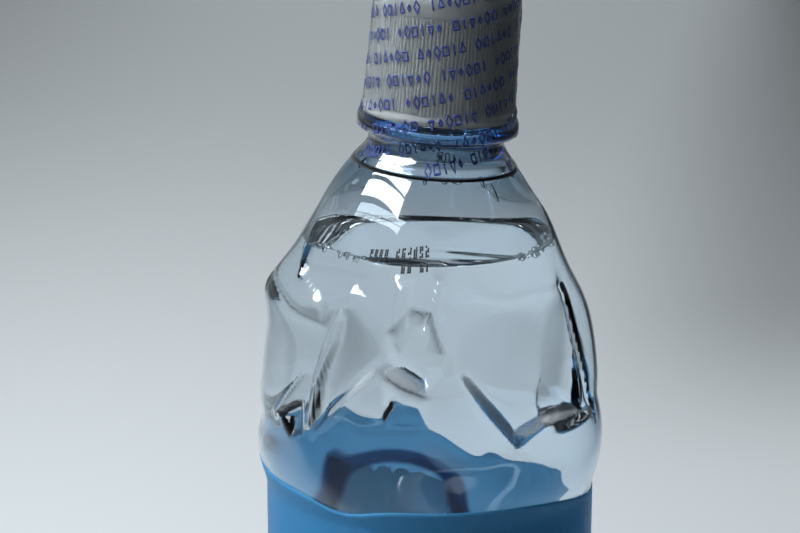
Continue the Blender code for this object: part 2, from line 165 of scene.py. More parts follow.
def skin(
    loops: list[np.ndarray], closed: bool = False, poles: tuple = (None, None)
) -> tuple[np.ndarray, list]:
    """Joins loops of the same number of points into one surface.

    Args:
        loops: Loops that all run the same way round.
        closed: Whether the last loop joins the first again.
        poles: A point that closes the start and one that closes the end, or None.

    Returns:
        The points and the faces.
    """
    count, rows = len(loops[0]), len(loops)
    points = np.concatenate(loops)
    k = np.arange(count)
    after = (k + 1) % count
    faces = []
    for row in range(rows if closed else rows - 1):
        here, there = row * count, ((row + 1) % rows) * count
        faces += np.stack([here + k, here + after, there + after, there + k], axis=1).tolist()
    for pole, row, first in ((poles[0], 0, True), (poles[1], rows - 1, False)):
        if pole is None:
            continue
        tip = len(points)
        points = np.concatenate([points, np.array([pole], float)])
        for a, b in zip((row * count + k).tolist(), (row * count + after).tolist()):
            faces.append((tip, b, a) if first else (tip, a, b))
    return points, faces


def keep(piece: Object, slot: Slot | None = None, *nodes: str) -> Object:
    """Hands a finished piece over.

    Args:
        piece: The piece, which rides on the bottle.
        slot: The material slot that it shows, if it has one; not used.
        *nodes: The solids that it stands for.

    Returns:
        The piece.
    """
    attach(piece, BODY)
    if nodes:
        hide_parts(*nodes)
    log.info("%s: %d faces", piece.name, len(piece.data.polygons))
    return piece


# --------------------------------------------------------------------------------------
# Finishes
# --------------------------------------------------------------------------------------
def new_material(name: str) -> tuple[Material, NodeTree, Node]:
    """Makes an empty Principled material.

    Args:
        name: The real material's name.

    Returns:
        The material, its tree and its Principled node.
    """
    material = bpy.data.materials.new(name)
    material.use_nodes = True
    tree = material.node_tree
    return material, tree, tree.nodes["Principled BSDF"]


def mottle(tree: NodeTree, size: float, detail: float = 2.0) -> NodeSocket:
    """Makes soft blotches on object coordinates.

    Args:
        tree: The material's tree.
        size: Width of its grains in millimetres.
        detail: Number of finer layers.

    Returns:
        The noise, from 0 to 1.
    """
    where = add_node(tree, "ShaderNodeTexCoord")
    noise = add_node(
        tree,
        "ShaderNodeTexNoise",
        {"Vector": where.outputs["Object"], "Scale": 1.0 / (size * MM), "Detail": detail, "Roughness": 0.55},
    )
    return noise.outputs["Fac"]


def patched(tree: NodeTree, shader: Node, size: float, first: str, second: str) -> None:
    """Colours a finish in soft patches of two colours.

    Args:
        tree: The material's tree.
        shader: Its Principled node.
        size: Width of the patches in millimetres.
        first: One colour.
        second: The other colour.
    """
    mix = add_node(
        tree,
        "ShaderNodeMix",
        {"Factor": mottle(tree, size), 6: linear(first), 7: linear(second)},
        data_type="RGBA",
    )
    tree.links.new(mix.outputs[2], shader.inputs["Base Color"])


@dataclass(frozen=True)
class Grain:
    """A surface's small unevenness: patches of gloss and a fine relief, sized in millimetres."""

    gloss_size: float
    smoothest: float
    roughest: float
    relief_size: float
    relief_depth: float

    def dress(self, tree: NodeTree, shader: Node) -> None:
        """Gives a finish this unevenness.

        Args:
            tree: The material's tree.
            shader: Its Principled node.
        """
        rough = add_node(
            tree,
            "ShaderNodeMapRange",
            {"Value": mottle(tree, self.gloss_size), "To Min": self.smoothest, "To Max": self.roughest},
        )
        bump = add_node(
            tree,
            "ShaderNodeBump",
            {"Height": mottle(tree, self.relief_size), "Distance": self.relief_depth * MM},
        )
        tree.links.new(rough.outputs["Result"], shader.inputs["Roughness"])
        tree.links.new(bump.outputs["Normal"], shader.inputs["Normal"])


class NodeShape:
    """A mesh grown by a Geometry Nodes tree whose inputs have names."""

    def __init__(self, name: str, values: dict[str, float | int]) -> None:
        """Makes the tree's inputs.

        Args:
            name: Name of the tree and of the finished object.
            values: The inputs by name.
        """
        self.name = name
        self.values = values
        self.tree = bpy.data.node_groups.new(name, "GeometryNodeTree")
        self.tree.interface.new_socket("Geometry", in_out="OUTPUT", socket_type="NodeSocketGeometry")
        for label, value in values.items():
            kind = "NodeSocketInt" if isinstance(value, int) else "NodeSocketFloat"
            self.tree.interface.new_socket(label, in_out="INPUT", socket_type=kind)
        self.given = self.tree.nodes.new("NodeGroupInput").outputs

    def add(self, kind: str, inputs: dict | None = None, **settings: object) -> Node:
        """Adds a node to the tree."""
        return add_node(self.tree, kind, inputs, **settings)

    def outline(self, corners: int, runs: int, half: float) -> Node:
        """Draws a closed ring of thread through equal corners, its runs cut into equal steps.

        Args:
            corners: Number of corners.
            runs: Number of steps in all.
            half: Half the thread's width against the outline's radius.

        Returns:
            The node that gives the mesh, flat in X and Y.
        """
        ring = self.add("GeometryNodeCurvePrimitiveCircle", {"Resolution": corners, "Radius": 1.0})
        stepped = self.add("GeometryNodeResampleCurve", {"Curve": ring, "Count": runs})
        thread = self.add("GeometryNodeCurvePrimitiveCircle", {"Resolution": 4, "Radius": half})
        return self.add("GeometryNodeCurveToMesh", {"Curve": stepped, "Profile Curve": thread})

    def finish(self, instances: Node, material: Material) -> Object:
        """Realizes the instances and turns them into a plain mesh object.

        Args:
            instances: The node that gives what the tree has made, in millimetres.
            material: The finish.

        Returns:
            The linked object, whose mesh is still in millimetres.
        """
        real = self.add("GeometryNodeRealizeInstances", {"Geometry": instances})
        dressed = self.add("GeometryNodeSetMaterial", {"Geometry": real, "Material": material})
        self.add("NodeGroupOutput", {0: dressed})
        made = bpy.data.objects.new(self.name, bpy.data.meshes.new(self.name))
        bpy.context.scene.collection.objects.link(made)
        modifier = made.modifiers.new(self.name, "NODES")
        modifier.node_group = self.tree
        for socket in self.tree.interface.items_tree:
            if socket.in_out == "INPUT":
                modifier[socket.identifier] = self.values[socket.name]
        grown = made.evaluated_get(bpy.context.evaluated_depsgraph_get())
        mesh = bpy.data.meshes.new_from_object(grown)
        made.modifiers.clear()
        made.data = mesh
        return made


def reshaped(piece: Object, place: Callable[[np.ndarray], np.ndarray]) -> Object:
    """Moves every point of a mesh that is in millimetres and turns it into metres.

    Args:
        piece: The piece.
        place: Gives the new points from the old ones, both in millimetres.

    Returns:
        The piece.
    """
    points = np.empty(len(piece.data.vertices) * 3)
    piece.data.vertices.foreach_get("co", points)
    moved = place(points.reshape(-1, 3)) * MM
    piece.data.vertices.foreach_set("co", moved.ravel())
    piece.data.shade_smooth()
    piece.data.update()
    return piece


@dataclass(frozen=True)
class ClearPet:
    """Stretch-blown PET, clear and glossy.

    Thin walls read nearly clear and thick places deep blue, with the faint waves of a
    blown wall. Where the attribute haze rises, the wall is cloudy and crackled.
    """

    ior: float = 1.575
    colour: str = "#fdfeff"
    depth_colour: str = "#00c8fe"
    density: float = 200.0
    gloss_size: float = 2.5
    roughest: float = 0.03
    wave_size: float = 9.0
    wave_depth: float = 0.008
    haze_roughness: float = 0.4
    crackle_size: float = 0.35
    crackle_depth: float = 0.06

    def material(self) -> Material:
        """Makes the finish.

        Returns:
            The material.
        """
        material, tree, shader = new_material("clear_pet")
        shader.inputs["Base Color"].default_value = linear(self.colour)
        shader.inputs["IOR"].default_value = self.ior
        shader.inputs["Transmission Weight"].default_value = 1.0
        haze = add_node(tree, "ShaderNodeAttribute", attribute_name="haze").outputs["Fac"]
        gloss = add_node(
            tree,
            "ShaderNodeMapRange",
            {"Value": mottle(tree, self.gloss_size), "To Max": self.roughest},
        )
        rough = add_node(tree, MATH, {0: haze, 1: self.haze_roughness, 2: gloss}, operation="MULTIPLY_ADD")
        tree.links.new(rough.outputs[0], shader.inputs["Roughness"])
        crackle = add_node(tree, MATH, {0: haze, 1: mottle(tree, self.crackle_size)}, operation="MULTIPLY")
        waves = add_node(
            tree,
            "ShaderNodeBump",
            {"Height": mottle(tree, self.wave_size), "Distance": self.wave_depth * MM},
        )
        uneven = add_node(
            tree,
            "ShaderNodeBump",
            {"Height": crackle, "Distance": self.crackle_depth * MM, "Normal": waves},
        )
        tree.links.new(uneven.outputs["Normal"], shader.inputs["Normal"])
        inside = add_node(
            tree, "ShaderNodeVolumeAbsorption", {"Color": linear(self.depth_colour), "Density": self.density}
        )
        tree.links.new(inside.outputs["Volume"], tree.nodes["Material Output"].inputs["Volume"])
        return material


@dataclass(frozen=True)
class StillWater:
    """Still water, colourless, with the faintest unevenness on its surface."""

    ior: float = 1.333
    colour: str = "#feffff"
    ripple_size: float = 14.0
    ripple_depth: float = 0.006

    def material(self) -> Material:
        """Makes the finish.

        Returns:
            The material.
        """
        material, tree, shader = new_material("still_water")
        shader.inputs["Base Color"].default_value = linear(self.colour)
        shader.inputs["IOR"].default_value = self.ior
        shader.inputs["Transmission Weight"].default_value = 1.0
        shader.inputs["Roughness"].default_value = 0.0
        ripple = add_node(
            tree,
            "ShaderNodeBump",
            {"Height": mottle(tree, self.ripple_size), "Distance": self.ripple_depth * MM},
        )
        tree.links.new(ripple.outputs["Normal"], shader.inputs["Normal"])
        return material


@dataclass(frozen=True)
class ClearSkin:
    """A thin clear skin, glossy and slightly uneven: shrunk film, or the wet skin of a bubble."""

    name: str
    colour: str
    ior: float
    grain: Grain

    def material(self) -> Material:
        """Makes the finish.

        Returns:
            The material.
        """
        material, tree, shader = new_material(self.name)
        shader.inputs["Base Color"].default_value = linear(self.colour)
        shader.inputs["IOR"].default_value = self.ior
        shader.inputs["Transmission Weight"].default_value = 1.0
        self.grain.dress(tree, shader)
        return material


@dataclass(frozen=True)
class Plastic:
    """A moulded opaque plastic with a fine grain, soft changes of gloss and a little light inside."""

    name: str
    colour: str
    shade: str
    grain: Grain
    translucency: float = 0.0
    patch_size: float = 6.0
    light_reach: float = 1.2

    def material(self) -> Material:
        """Makes the finish.

        Returns:
            The material.
        """
        material, tree, shader = new_material(self.name)
        patched(tree, shader, self.patch_size, self.colour, self.shade)
        self.grain.dress(tree, shader)
        shader.inputs["Subsurface Weight"].default_value = self.translucency
        shader.inputs["Subsurface Radius"].default_value = (1.0, 1.0, 1.15)
        shader.inputs["Subsurface Scale"].default_value = self.light_reach * MM
        return material


@dataclass(frozen=True)
class Swash:
    """A soft printed ellipse on the back of the label, an arch where ring is 1 and full where it is 0.

    Places and half sizes are millimetres across and up, its tilt is degrees, and its
    thickness is a share of its half sizes, of which the share core has its full strength.
    """

    across: float
    level: float
    half_across: float
    half_up: float
    tilt: float
    ring: float
    thickness: float
    colour: str
    strength: float
    core: float = 0.45
    back_from: float = 0.0
    back_to: float = 2.0

    def printed(self, tree: NodeTree, ground: NodeSocket) -> NodeSocket:
        """Prints this over a ground.

        Args:
            tree: The material's tree.
            ground: The colour under the print.

        Returns:
            The printed colour.
        """
        where = add_node(tree, "ShaderNodeTexCoord")
        local = add_node(
            tree,
            "ShaderNodeMapping",
            {
                "Vector": where.outputs["Object"],
                "Location": (self.across * MM, 0.0, self.level * MM),
                "Rotation": (0.0, math.radians(self.tilt), 0.0),
                "Scale": (self.half_across * MM, 1000.0, self.half_up * MM),
            },
            vector_type="TEXTURE",
        )
        far = add_node(tree, "ShaderNodeVectorMath", {0: local}, operation="LENGTH")
        off = add_node(tree, MATH, {0: far.outputs["Value"], 1: self.ring}, operation="SUBTRACT")
        away = add_node(tree, MATH, {0: off}, operation="ABSOLUTE")
        soft = {"From Min": self.core * self.thickness, "From Max": self.thickness}
        inside = add_node(
            tree,
            "ShaderNodeMapRange",
            {"Value": away, **soft, "To Min": self.strength, "To Max": 0.0},
            interpolation_type="SMOOTHSTEP",
        )
        depth = add_node(tree, "ShaderNodeSeparateXYZ", {0: where.outputs["Object"]})
        behind = add_node(
            tree,
            "ShaderNodeMapRange",
            {"Value": depth.outputs["Y"], "From Min": self.back_from * MM, "From Max": self.back_to * MM},
            interpolation_type="SMOOTHSTEP",
        )
        both = add_node(tree, MATH, {0: inside, 1: behind}, operation="MULTIPLY")
        mixed = add_node(
            tree, "ShaderNodeMix", {"Factor": both, 6: ground, 7: linear(self.colour)}, data_type="RGBA"
        )
        return mixed.outputs[2]


@dataclass(frozen=True)
class PrintedLabel:
    """Printed label film that lets light through: blue that deepens downwards, with soft waves."""

    name: str
    upper: str
    lower: str
    passed: str
    see_through: float
    low: float = 74.0
    high: float = 142.0
    shine: float = 0.15
    grain: Grain = Grain(1.2, 0.18, 0.3, 8.0, 0.05)
    swashes: tuple[Swash, ...] = (
        Swash(-3.5, 125.0, 7.5, 9.5, 0.0, 1.0, 0.2, "#12408c", 0.75),
        Swash(2.5, 133.5, 2.2, 6.0, -35.0, 0.0, 1.0, "#c9e2f6", 0.55),
        Swash(-3.0, 124.5, 1.8, 5.0, 8.0, 0.0, 1.0, "#cfe6f7", 0.6),
        Swash(-22.0, 118.0, 8.0, 12.0, 20.0, 1.0, 0.16, "#1a4a98", 0.6),
        Swash(18.0, 112.0, 10.0, 9.0, -15.0, 1.0, 0.16, "#1a4a98", 0.6),
    )

    def material(self) -> Material:
        """Makes the finish.

        Returns:
            The material.
        """
        material, tree, shader = new_material(self.name)
        where = add_node(tree, "ShaderNodeTexCoord")
        place = add_node(tree, "ShaderNodeSeparateXYZ", {0: where.outputs["Object"]})
        height = add_node(
            tree,
            "ShaderNodeMapRange",
            {"Value": place.outputs["Z"], "From Min": self.low * MM, "From Max": self.high * MM},
        )
        ground = add_node(
            tree,
            "ShaderNodeMix",
            {"Factor": height, 6: linear(self.lower), 7: linear(self.upper)},
            data_type="RGBA",
        )
        tree.links.new(self.printed(tree, ground.outputs[2]), shader.inputs["Base Color"])
        self.grain.dress(tree, shader)
        shader.inputs["Specular IOR Level"].default_value = self.shine
        light = add_node(tree, "ShaderNodeRGB")
        light.outputs[0].default_value = linear(self.passed)
        through = add_node(tree, "ShaderNodeBsdfTranslucent", {"Color": self.printed(tree, light.outputs[0])})
        both = add_node(tree, "ShaderNodeMixShader", {0: self.see_through, 1: shader, 2: through})
        tree.links.new(both.outputs["Shader"], tree.nodes["Material Output"].inputs["Surface"])
        return material

    def printed(self, tree: NodeTree, ground: NodeSocket) -> NodeSocket:
        """Prints every wave over a ground.

        Args:
            tree: The material's tree.
            ground: The colour under the print.

        Returns:
            The printed colour.
        """
        for swash in self.swashes:
            ground = swash.printed(tree, ground)
        return ground


@dataclass(frozen=True)
class CrazedPet:
    """Overstretched PET skin, clouded white and half clear."""

    cloud: str = "#c3ccd3"
    bright: str = "#f2f6f9"
    cover: float = 0.24
    patch_size: float = 0.5
    grain: Grain = Grain(0.8, 0.2, 0.5, 0.4, 0.05)

    def material(self) -> Material:
        """Makes the finish.

        Returns:
            The material.
        """
        material, tree, shader = new_material("crazed_pet")
        patched(tree, shader, self.patch_size, self.cloud, self.bright)
        shader.inputs["Alpha"].default_value = self.cover
        self.grain.dress(tree, shader)
        return material


@dataclass(frozen=True)
class Ink:
    """Printing ink, a thin even layer with slight changes of strength."""

    name: str
    colour: str
    weaker: str
    patch_size: float = 0.9
    grain: Grain = Grain(0.5, 0.25, 0.4, 0.2, 0.004)

    def material(self) -> Material:
        """Makes the finish.

        Returns:
            The material.
        """
        material, tree, shader = new_material(self.name)
        patched(tree, shader, self.patch_size, self.colour, self.weaker)
        self.grain.dress(tree, shader)
        return material


# --------------------------------------------------------------------------------------
# The crumpled shape
# --------------------------------------------------------------------------------------
@dataclass(frozen=True)
class Facet:
    """A flat on the wall: a plane that cuts the round body, with a softly rounded crease.

    It faces an angle, lies at a reach from the axis at a level, and comes nearer to the
    axis by slope for each millimetre up. It fades in over low and out over high.
    """

    angle: float
    level: float
    reach: float
    slope: float
    crease: float = 0.25
    low: tuple = (138.0, 139.0)
    high: tuple = (204.0, 206.0)
    widest: float = 75.0

    def cut(self, angle: np.ndarray, level: np.ndarray, radius: np.ndarray) -> np.ndarray:
        """Cuts the wall with the plane.

        Args:
            angle: Angles round the bottle.
            level: Levels.
            radius: Radius of the wall there so far.

        Returns:
            Its radius once it is cut.
        """
        away = np.clip(np.abs(wrapped(angle - self.angle)), 0.0, self.widest)
        plane = (self.reach - self.slope * (level - self.level)) / np.cos(np.radians(away))
        over = (radius - plane) / self.crease
        depth = self.crease * np.logaddexp(0.0, over)
        return radius - depth * ramp(level, *self.low) * (1 - ramp(level, *self.high))


@dataclass(frozen=True)
class Panel:
    """A pressed-in panel: its rim is a crease and its inside is nearly flat.

    It reaches its depth over run from the rim, flat is the share of the wall's roundness
    that it loses, and its depth grows by tip for each millimetre below its highest corner.
    """

    rim: Line
    depth: float
    run: float
    flat: float = 1.0
    tip: float = 0.0


@dataclass(frozen=True)
class Fold:
    """A sharp fold along a line: a ridge where height is over 0, else a valley."""

    line: Line
    height: float
    width: float


@dataclass(frozen=True)
class Swell:
    """A broad soft bulge, or a hollow where height is under 0."""

    angle: float
    level: float
    height: float
    across: float
    along: float


@dataclass(frozen=True)
class Whitening:
    """A crease along which the overstretched wall has turned cloudy."""

    line: Line
    half: float
    strength: float


FACETS = (
    # right of the middle, from its V-shaped foot up to the shoulder
    Facet(28, 155.5, 35.7, 0.16),
    # far right, over a level foot
    Facet(60, 158, 34.2, 0.12, 0.3, (155.0, 158.0)),
    # left of the middle, from the foot of the long finger
    Facet(-40, 156.3, 35.7, 0.18),
    # upper left, on the shoulder
    Facet(-49, 182, 31.4, 0.75, 0.12, (178.0, 181.0), (190.0, 198.0)),
    # the back: a low flat, flats that lean out over it, and an upright one under the shoulder
    Facet(168, 148, 29.6, 0.04, 0.3, (119.0, 137.0), (146.0, 156.0)),
    Facet(164, 148, 29.2, -0.12, 0.3, (144.0, 152.0)),
    Facet(-176, 148, 29.6, -0.08, 0.3, (138.0, 147.0)),
    Facet(174, 165, 30.6, 0.0, 0.3, (150.0, 156.0)),
)

PANELS = (
    # the right flats stand over their V-shaped foot
    Panel(
        (
            (4, 186), (8, 171), (29.5, 155.2), (40, 158.4), (66, 157.4), (68, 168),
            (64, 182), (54, 184.5), (35, 183.7), (20, 185.8),
        ),
        -0.6, 1.2, 0.0, 0.16,
    ),
    # the left flat stands over its sloping foot
    Panel(
        (
            (-18, 173), (-34, 162.5), (-43, 156.5), (-43, 166),
            (-37, 176), (-35, 187), (-22, 184.5), (-17, 179),
        ),
        -0.7, 1.2, 0.0, 0.13,
    ),
    # spoon-shaped dimple in the middle
    Panel(
        (
            (-16.4, 179), (-14.9, 175), (-11.6, 172), (-6.9, 170.1), (-2.5, 167.9),
            (2.5, 171.3), (4.2, 175.3), (-0.2, 182.7), (-8, 184),
        ),
        2.6, 1.7, 0.4,
    ),
    # sloping strip under the dimple
    Panel(((-16, 170.5), (-15.5, 160), (-1, 161), (-0.5, 166.5)), 2.8, 0.8, 0.0, -0.27),
    # petal that hangs over the dimple
    Panel(
        ((-14.8, 189), (-14.7, 180), (-13.3, 177), (-11.2, 174.3), (-9, 177.8), (-6.6, 189)),
        -1.3, 0.6, 0.0,
    ),
    # long finger on the left
    Panel(
        (
            (-36.3, 182.7), (-39.8, 178.6), (-42.5, 174.3), (-44.9, 168), (-46.3, 157),
            (-43.9, 156.8), (-40.8, 163), (-38.9, 169.8), (-34.5, 175.4), (-32.8, 180.5),
        ),
        -1.1, 0.7, 0.0,
    ),
    # small triangle in the right panel's lower corner
    Panel(((36, 157.2), (41, 166.5), (60, 158.8)), 0.5, 1.6, 0.2),
    # dark triangle at the left, under the short finger
    Panel(((-60, 158), (-49.2, 162.3), (-47, 155.5), (-52, 153.4)), 3.6, 0.5, 0.0, -0.42),
    # small flat on the upper left shoulder
    Panel(
        (
            (-66, 188), (-64.9, 185.6), (-51.8, 183.2), (-45.8, 181), (-44.4, 178),
            (-40.9, 181.9), (-27.9, 183.8), (-28.5, 185.1), (-24.9, 189.4),
        ),
        0.35, 0.4, 0.0,
    ),
)

FOLDS = (
    # valleys under the feet of the flats
    Fold(((8, 171), (29.5, 155.2), (40, 158.4), (66, 157.4)), -0.4, 3.0),
    Fold(((-18, 173), (-34, 162.5), (-43, 156.5)), -0.3, 3.0),
    # groove down the far right
    Fold(((65, 183), (68, 173), (72, 164), (75, 156)), -1.8, 1.8),
    # short finger to the left of the long one
    Fold(((-48.5, 168), (-61, 157.8)), 0.8, 1.1),
    # crease across the left shoulder corner
    Fold(((-96, 183), (-84, 182), (-64, 179.3), (-44, 178.0)), -0.7, 1.2),
    # crease between the petal and the right flats
    Fold(((2, 189), (-1, 184), (-3, 180)), -1.5, 1.0),
    # strip along the dimple's lower left rim
    Fold(((-18, 173), (-8, 168)), 0.6, 0.8),
    # short upright fold in the right panel's lower corner
    Fold(((41, 160), (41.5, 167)), 0.5, 0.9),
    # brow over the right flats
    Fold(((15, 188), (18.4, 186), (27.9, 184.3), (37.5, 184.6), (48.4, 184.3), (64, 183.2)), -0.5, 0.7),
)

SWELLS = (
    # the left shoulder corner stands out, and the right one is pressed flat
    Swell(-92, 180.5, 2.3, 10.0, 5.0),
    Swell(92, 184, -1.6, 18.0, 8.0),
    # notches at both sides under the crumpled band
    Swell(-92, 152.5, -1.0, 9.0, 3.0),
    Swell(92, 157, -0.6, 9.0, 3.5),
)

WHITENED = (
    # V-shaped foot of the right flats, and its bright outer corner
    Whitening(((10.5, 170.5), (29.6, 156.6)), 1.0, 0.6),
    Whitening(((31.0, 156.8), (40.0, 158.8), (64.0, 157.9)), 0.7, 0.4),
    # sloping foot of the left flat
    Whitening(((-19.0, 171.6), (-38.0, 160.4)), 0.7, 0.4),
    # pressed strip under the dimple
    Whitening(((-15.5, 172.0), (-4.0, 168.0)), 1.7, 1.0),
    # groove down the far right
    Whitening(((66.0, 180.0), (68.0, 173.0), (72.0, 164.0)), 0.7, 0.3),
)


@dataclass(frozen=True)
class BottleForm:
    """Sizes of the bottle, as in its solid, and the shape of its crumpled wall.

    Rows counts the wall's rows under the label, over the label's edge, in the crumpled
    band and on the shoulder. The spread of a groove is a share of its half width, and the
    core and reach of the haze are shares of a clouded crease's.
    """

    wall: float = 0.42
    neck_wall: float = 1.5
    thicker_from: float = 197.0
    thicker_to: float = 207.0
    body_radius: float = 37.0
    label_radius: float = 34.9
    groove_levels: tuple = (20.0, 34.0, 48.0)
    groove_depth: float = 1.1
    groove_half: float = 2.4
    water_level: float = 190.3
    neck_lean: float = 4.0
    lean_start: float = 195.0
    lean_end: float = 205.0
    unroll_radius: float = 34.0
    crumple_low: tuple = (120.0, 124.0)
    crumple_high: tuple = (196.0, 204.0)
    crumpled_half: float = 104.0
    front_steps: int = 214
    back_steps: int = 42
    upper_from: float = 118.0
    label_step_from: float = 133.0
    crumpled_from: float = 150.0
    neck_root: float = 207.0
    rows: tuple = (5, 16, 80, 16)
    groove_rows: int = 9
    groove_spread: float = 1.6
    haze_core: float = 0.45
    haze_reach: float = 1.25
    base_line: Line = (
        (0.0, 3.2), (12.0, 2.9), (21.0, 1.8), (27.5, 0.3), (28.2, 0.0), (31.4, 0.0), (34.6, 1.2),
        (36.4, 4.0),
    )
    waist_line: Line = ((36.9, 64.0), (36.3, 67.5), (35.3, 70.0))
    shoulder_line: Line = (
        (118.0, 34.9), (134.0, 34.9), (138.0, 34.95), (142.0, 36.1), (147.0, 36.8), (153.0, 36.5),
        (161.0, 35.7), (170.0, 34.6), (178.5, 33.0), (184.0, 30.8), (190.5, 27.3), (197.0, 23.5),
        (204.0, 19.0), (207.0, 16.8),
    )

    def columns(self) -> np.ndarray:
        """Places the wall's uprights, close together where the crumples are.

        Returns:
            Their angles.
        """
        half = self.crumpled_half
        front = np.linspace(-half, half, self.front_steps, endpoint=False)
        back = np.linspace(half, 360.0 - half, self.back_steps, endpoint=False)
        return np.concatenate([front, back])

    def upper_levels(self) -> np.ndarray:
        """Places the wall's rows from the label up to the neck root.

        Returns:
            Their levels.
        """
        covered, label_step, crumpled, shoulder = self.rows
        under = np.linspace(self.upper_from, self.label_step_from, covered, endpoint=False)
        step = np.linspace(self.label_step_from, self.crumpled_from, label_step, endpoint=False)
        band = np.linspace(self.crumpled_from, self.water_level, crumpled)
        over = np.linspace(self.water_level, self.neck_root, shoulder)
        return np.concatenate([under, step, band, over[1:]])

    def upper_radius(self, level: np.ndarray) -> np.ndarray:
        """Radius of the round upper body at a level, on a smooth curve through its line."""
        levels, radii = (np.array(column, float) for column in zip(*self.shoulder_line))
        return smooth_through(levels, radii, np.asarray(level, float))

    def lower_line(self) -> np.ndarray:
        """Draws the wall from the base centre up to the label.

        Returns:
            Its points as (radius, level).
        """
        line = [*self.base_line, (self.body_radius, 8.0)]
        spread = self.groove_spread * self.groove_half
        for level in self.groove_levels:
            for share in np.linspace(-1.0, 1.0, self.groove_rows):
                dip = 0.5 * (1.0 + math.cos(math.pi * share))
                line.append((self.body_radius - self.groove_depth * dip, level + spread * share))
        line += [(self.body_radius, 60.0), *self.waist_line, (self.label_radius, 72.0)]
        return np.array(line, float)

    def upper_line(self, distance: float) -> np.ndarray:
        """Draws the round wall from the label up to the neck root, where it thickens.

        Args:
            distance: Distance inside the outer face.

        Returns:
            Its points as (radius, level).
        """
        levels = self.upper_levels()
        steep = np.gradient(self.upper_radius(levels), levels)
        thicker = 1.0 + (self.neck_wall / self.wall - 1.0) * ramp(levels, self.thicker_from, self.thicker_to)
        upper = self.upper_radius(levels) - distance * thicker * np.hypot(1.0, steep)
        return np.stack([upper, levels], axis=1)

    def wall_line(self, distance: float) -> np.ndarray:
        """Draws the round wall from the base centre up to the neck root.

        Args:
            distance: Distance inside the outer face.

        Returns:
            Its points as (radius, level).
        """
        lower = self.lower_line()
        along = np.gradient(lower, axis=0)
        along /= np.linalg.norm(along, axis=1)[:, None]
        lower = lower + distance * np.stack([-along[:, 1], along[:, 0]], axis=1)
        lower[0, 0] = 0.0
        return np.concatenate([lower, self.upper_line(distance)])

    def crumple(self, angle: np.ndarray, level: np.ndarray | float) -> np.ndarray:
        """Reckons how far the wall is moved outwards.

        Args:
            angle: Angles round the bottle.
            level: Levels, one for each angle or one for all.

        Returns:
            The outward moves in millimetres.
        """
        angle, level = np.broadcast_arrays(np.asarray(angle, float), np.asarray(level, float))
        body = self.upper_radius(level)
        radius = body
        for facet in FACETS:
            radius = facet.cut(angle, level, radius)
        moved = radius - body
        for swell in SWELLS:
            across = self.arc(angle, swell.angle) / swell.across
            along = (level - swell.level) / swell.along
            moved = moved + swell.height * np.exp(-across * across - along * along)
        for panel in PANELS:
            s, rim, half = self.unrolled(angle, panel.rim)
            inside = np.where(inside_rim(s, level, rim), distance_to_line(s, level, rim + rim[:1]), 0.0)
            sag = np.maximum(half * half - s * s, 0.0) / (2 * self.unroll_radius)
            below = max(z for _, z in rim) - level
            depth = panel.depth + panel.flat * sag + panel.tip * below
            moved = moved - (1 - np.exp(-inside / panel.run)) * depth
        for fold in FOLDS:
            s, line, _ = self.unrolled(angle, fold.line)
            away = distance_to_line(s, level, line)
            moved = moved + fold.height * np.exp(-away / fold.width)
        return moved * ramp(level, *self.crumple_low) * (1 - ramp(level, *self.crumple_high))

    def haze(self, angle: np.ndarray, level: float) -> np.ndarray:
        """Reckons how cloudy the wall is.

        Args:
            angle: Angles round the bottle.
            level: Their level.

        Returns:
            The cloudiness at each angle, from 0 to 1.
        """
        cloudy = np.zeros(np.shape(angle))
        for crease in WHITENED:
            s, line, _ = self.unrolled(angle, crease.line)
            away = distance_to_line(s, np.full(np.shape(s), level), line)
            share = 1.0 - ramp(away, self.haze_core * crease.half, self.haze_reach * crease.half)
            cloudy = np.maximum(cloudy, crease.strength * share)
        return cloudy

    def arc(self, angle: np.ndarray | float, start: float) -> np.ndarray:
        """Arc length from a starting angle, the short way round."""
        return np.radians(wrapped(angle - start)) * self.unroll_radius

    def unrolled(self, angle: np.ndarray, points: Line) -> tuple[np.ndarray, list, float]:
        """Unrolls the wall about the middle of a line or a rim.

        Args:
            angle: Angles round the bottle.
            points: Corners as (angle, level).

        Returns:
            Arc lengths of the angles, corners as (arc length, level), and half the line's width.
        """
        low, high = min(a for a, _ in points), max(a for a, _ in points)
        middle = (low + high) / 2
        corners = [(math.radians(a - middle) * self.unroll_radius, z) for a, z in points]
        return self.arc(angle, middle), corners, math.radians((high - low) / 2) * self.unroll_radius

    def lean(self, points: np.ndarray, whole: bool = False) -> np.ndarray:
        """Leans the neck towards +X.

        Args:
            points: Points in millimetres.
            whole: Whether every point gets the neck's full lean.

        Returns:
            The moved points.
        """
        points = np.array(points, float)
        share = 1.0 if whole else ramp(points[:, 2], self.lean_start, self.lean_end)
        turn = math.radians(self.neck_lean) * share
        x, up = points[:, 0].copy(), points[:, 2] - self.lean_start
        points[:, 0] = x * np.cos(turn) + up * np.sin(turn)
        points[:, 2] = self.lean_start - x * np.sin(turn) + up * np.cos(turn)
        return points

    def wrapped_on(self, points: np.ndarray, distance: float) -> np.ndarray:
        """Wraps an unrolled strip round the wall.

        Args:
            points: Points as (arc length, distance outwards, level).
            distance: Distance of the strip inside the wall's outer face.

        Returns:
            The points on the bottle.
        """
        turn, level = points[:, 0] / self.unroll_radius, points[:, 2]
        radius = self.radius_at(np.degrees(turn), level, distance) + points[:, 1]
        return self.lean(np.stack([radius * np.sin(turn), -radius * np.cos(turn), level], axis=1))

    def radius_at(self, angle: np.ndarray, level: np.ndarray | float, distance: float) -> np.ndarray:
        """Radius of the crumpled upper wall at a distance inside its outer face."""
        line = self.upper_line(distance)
        return np.interp(level, line[:, 1], line[:, 0]) + self.crumple(angle, level)

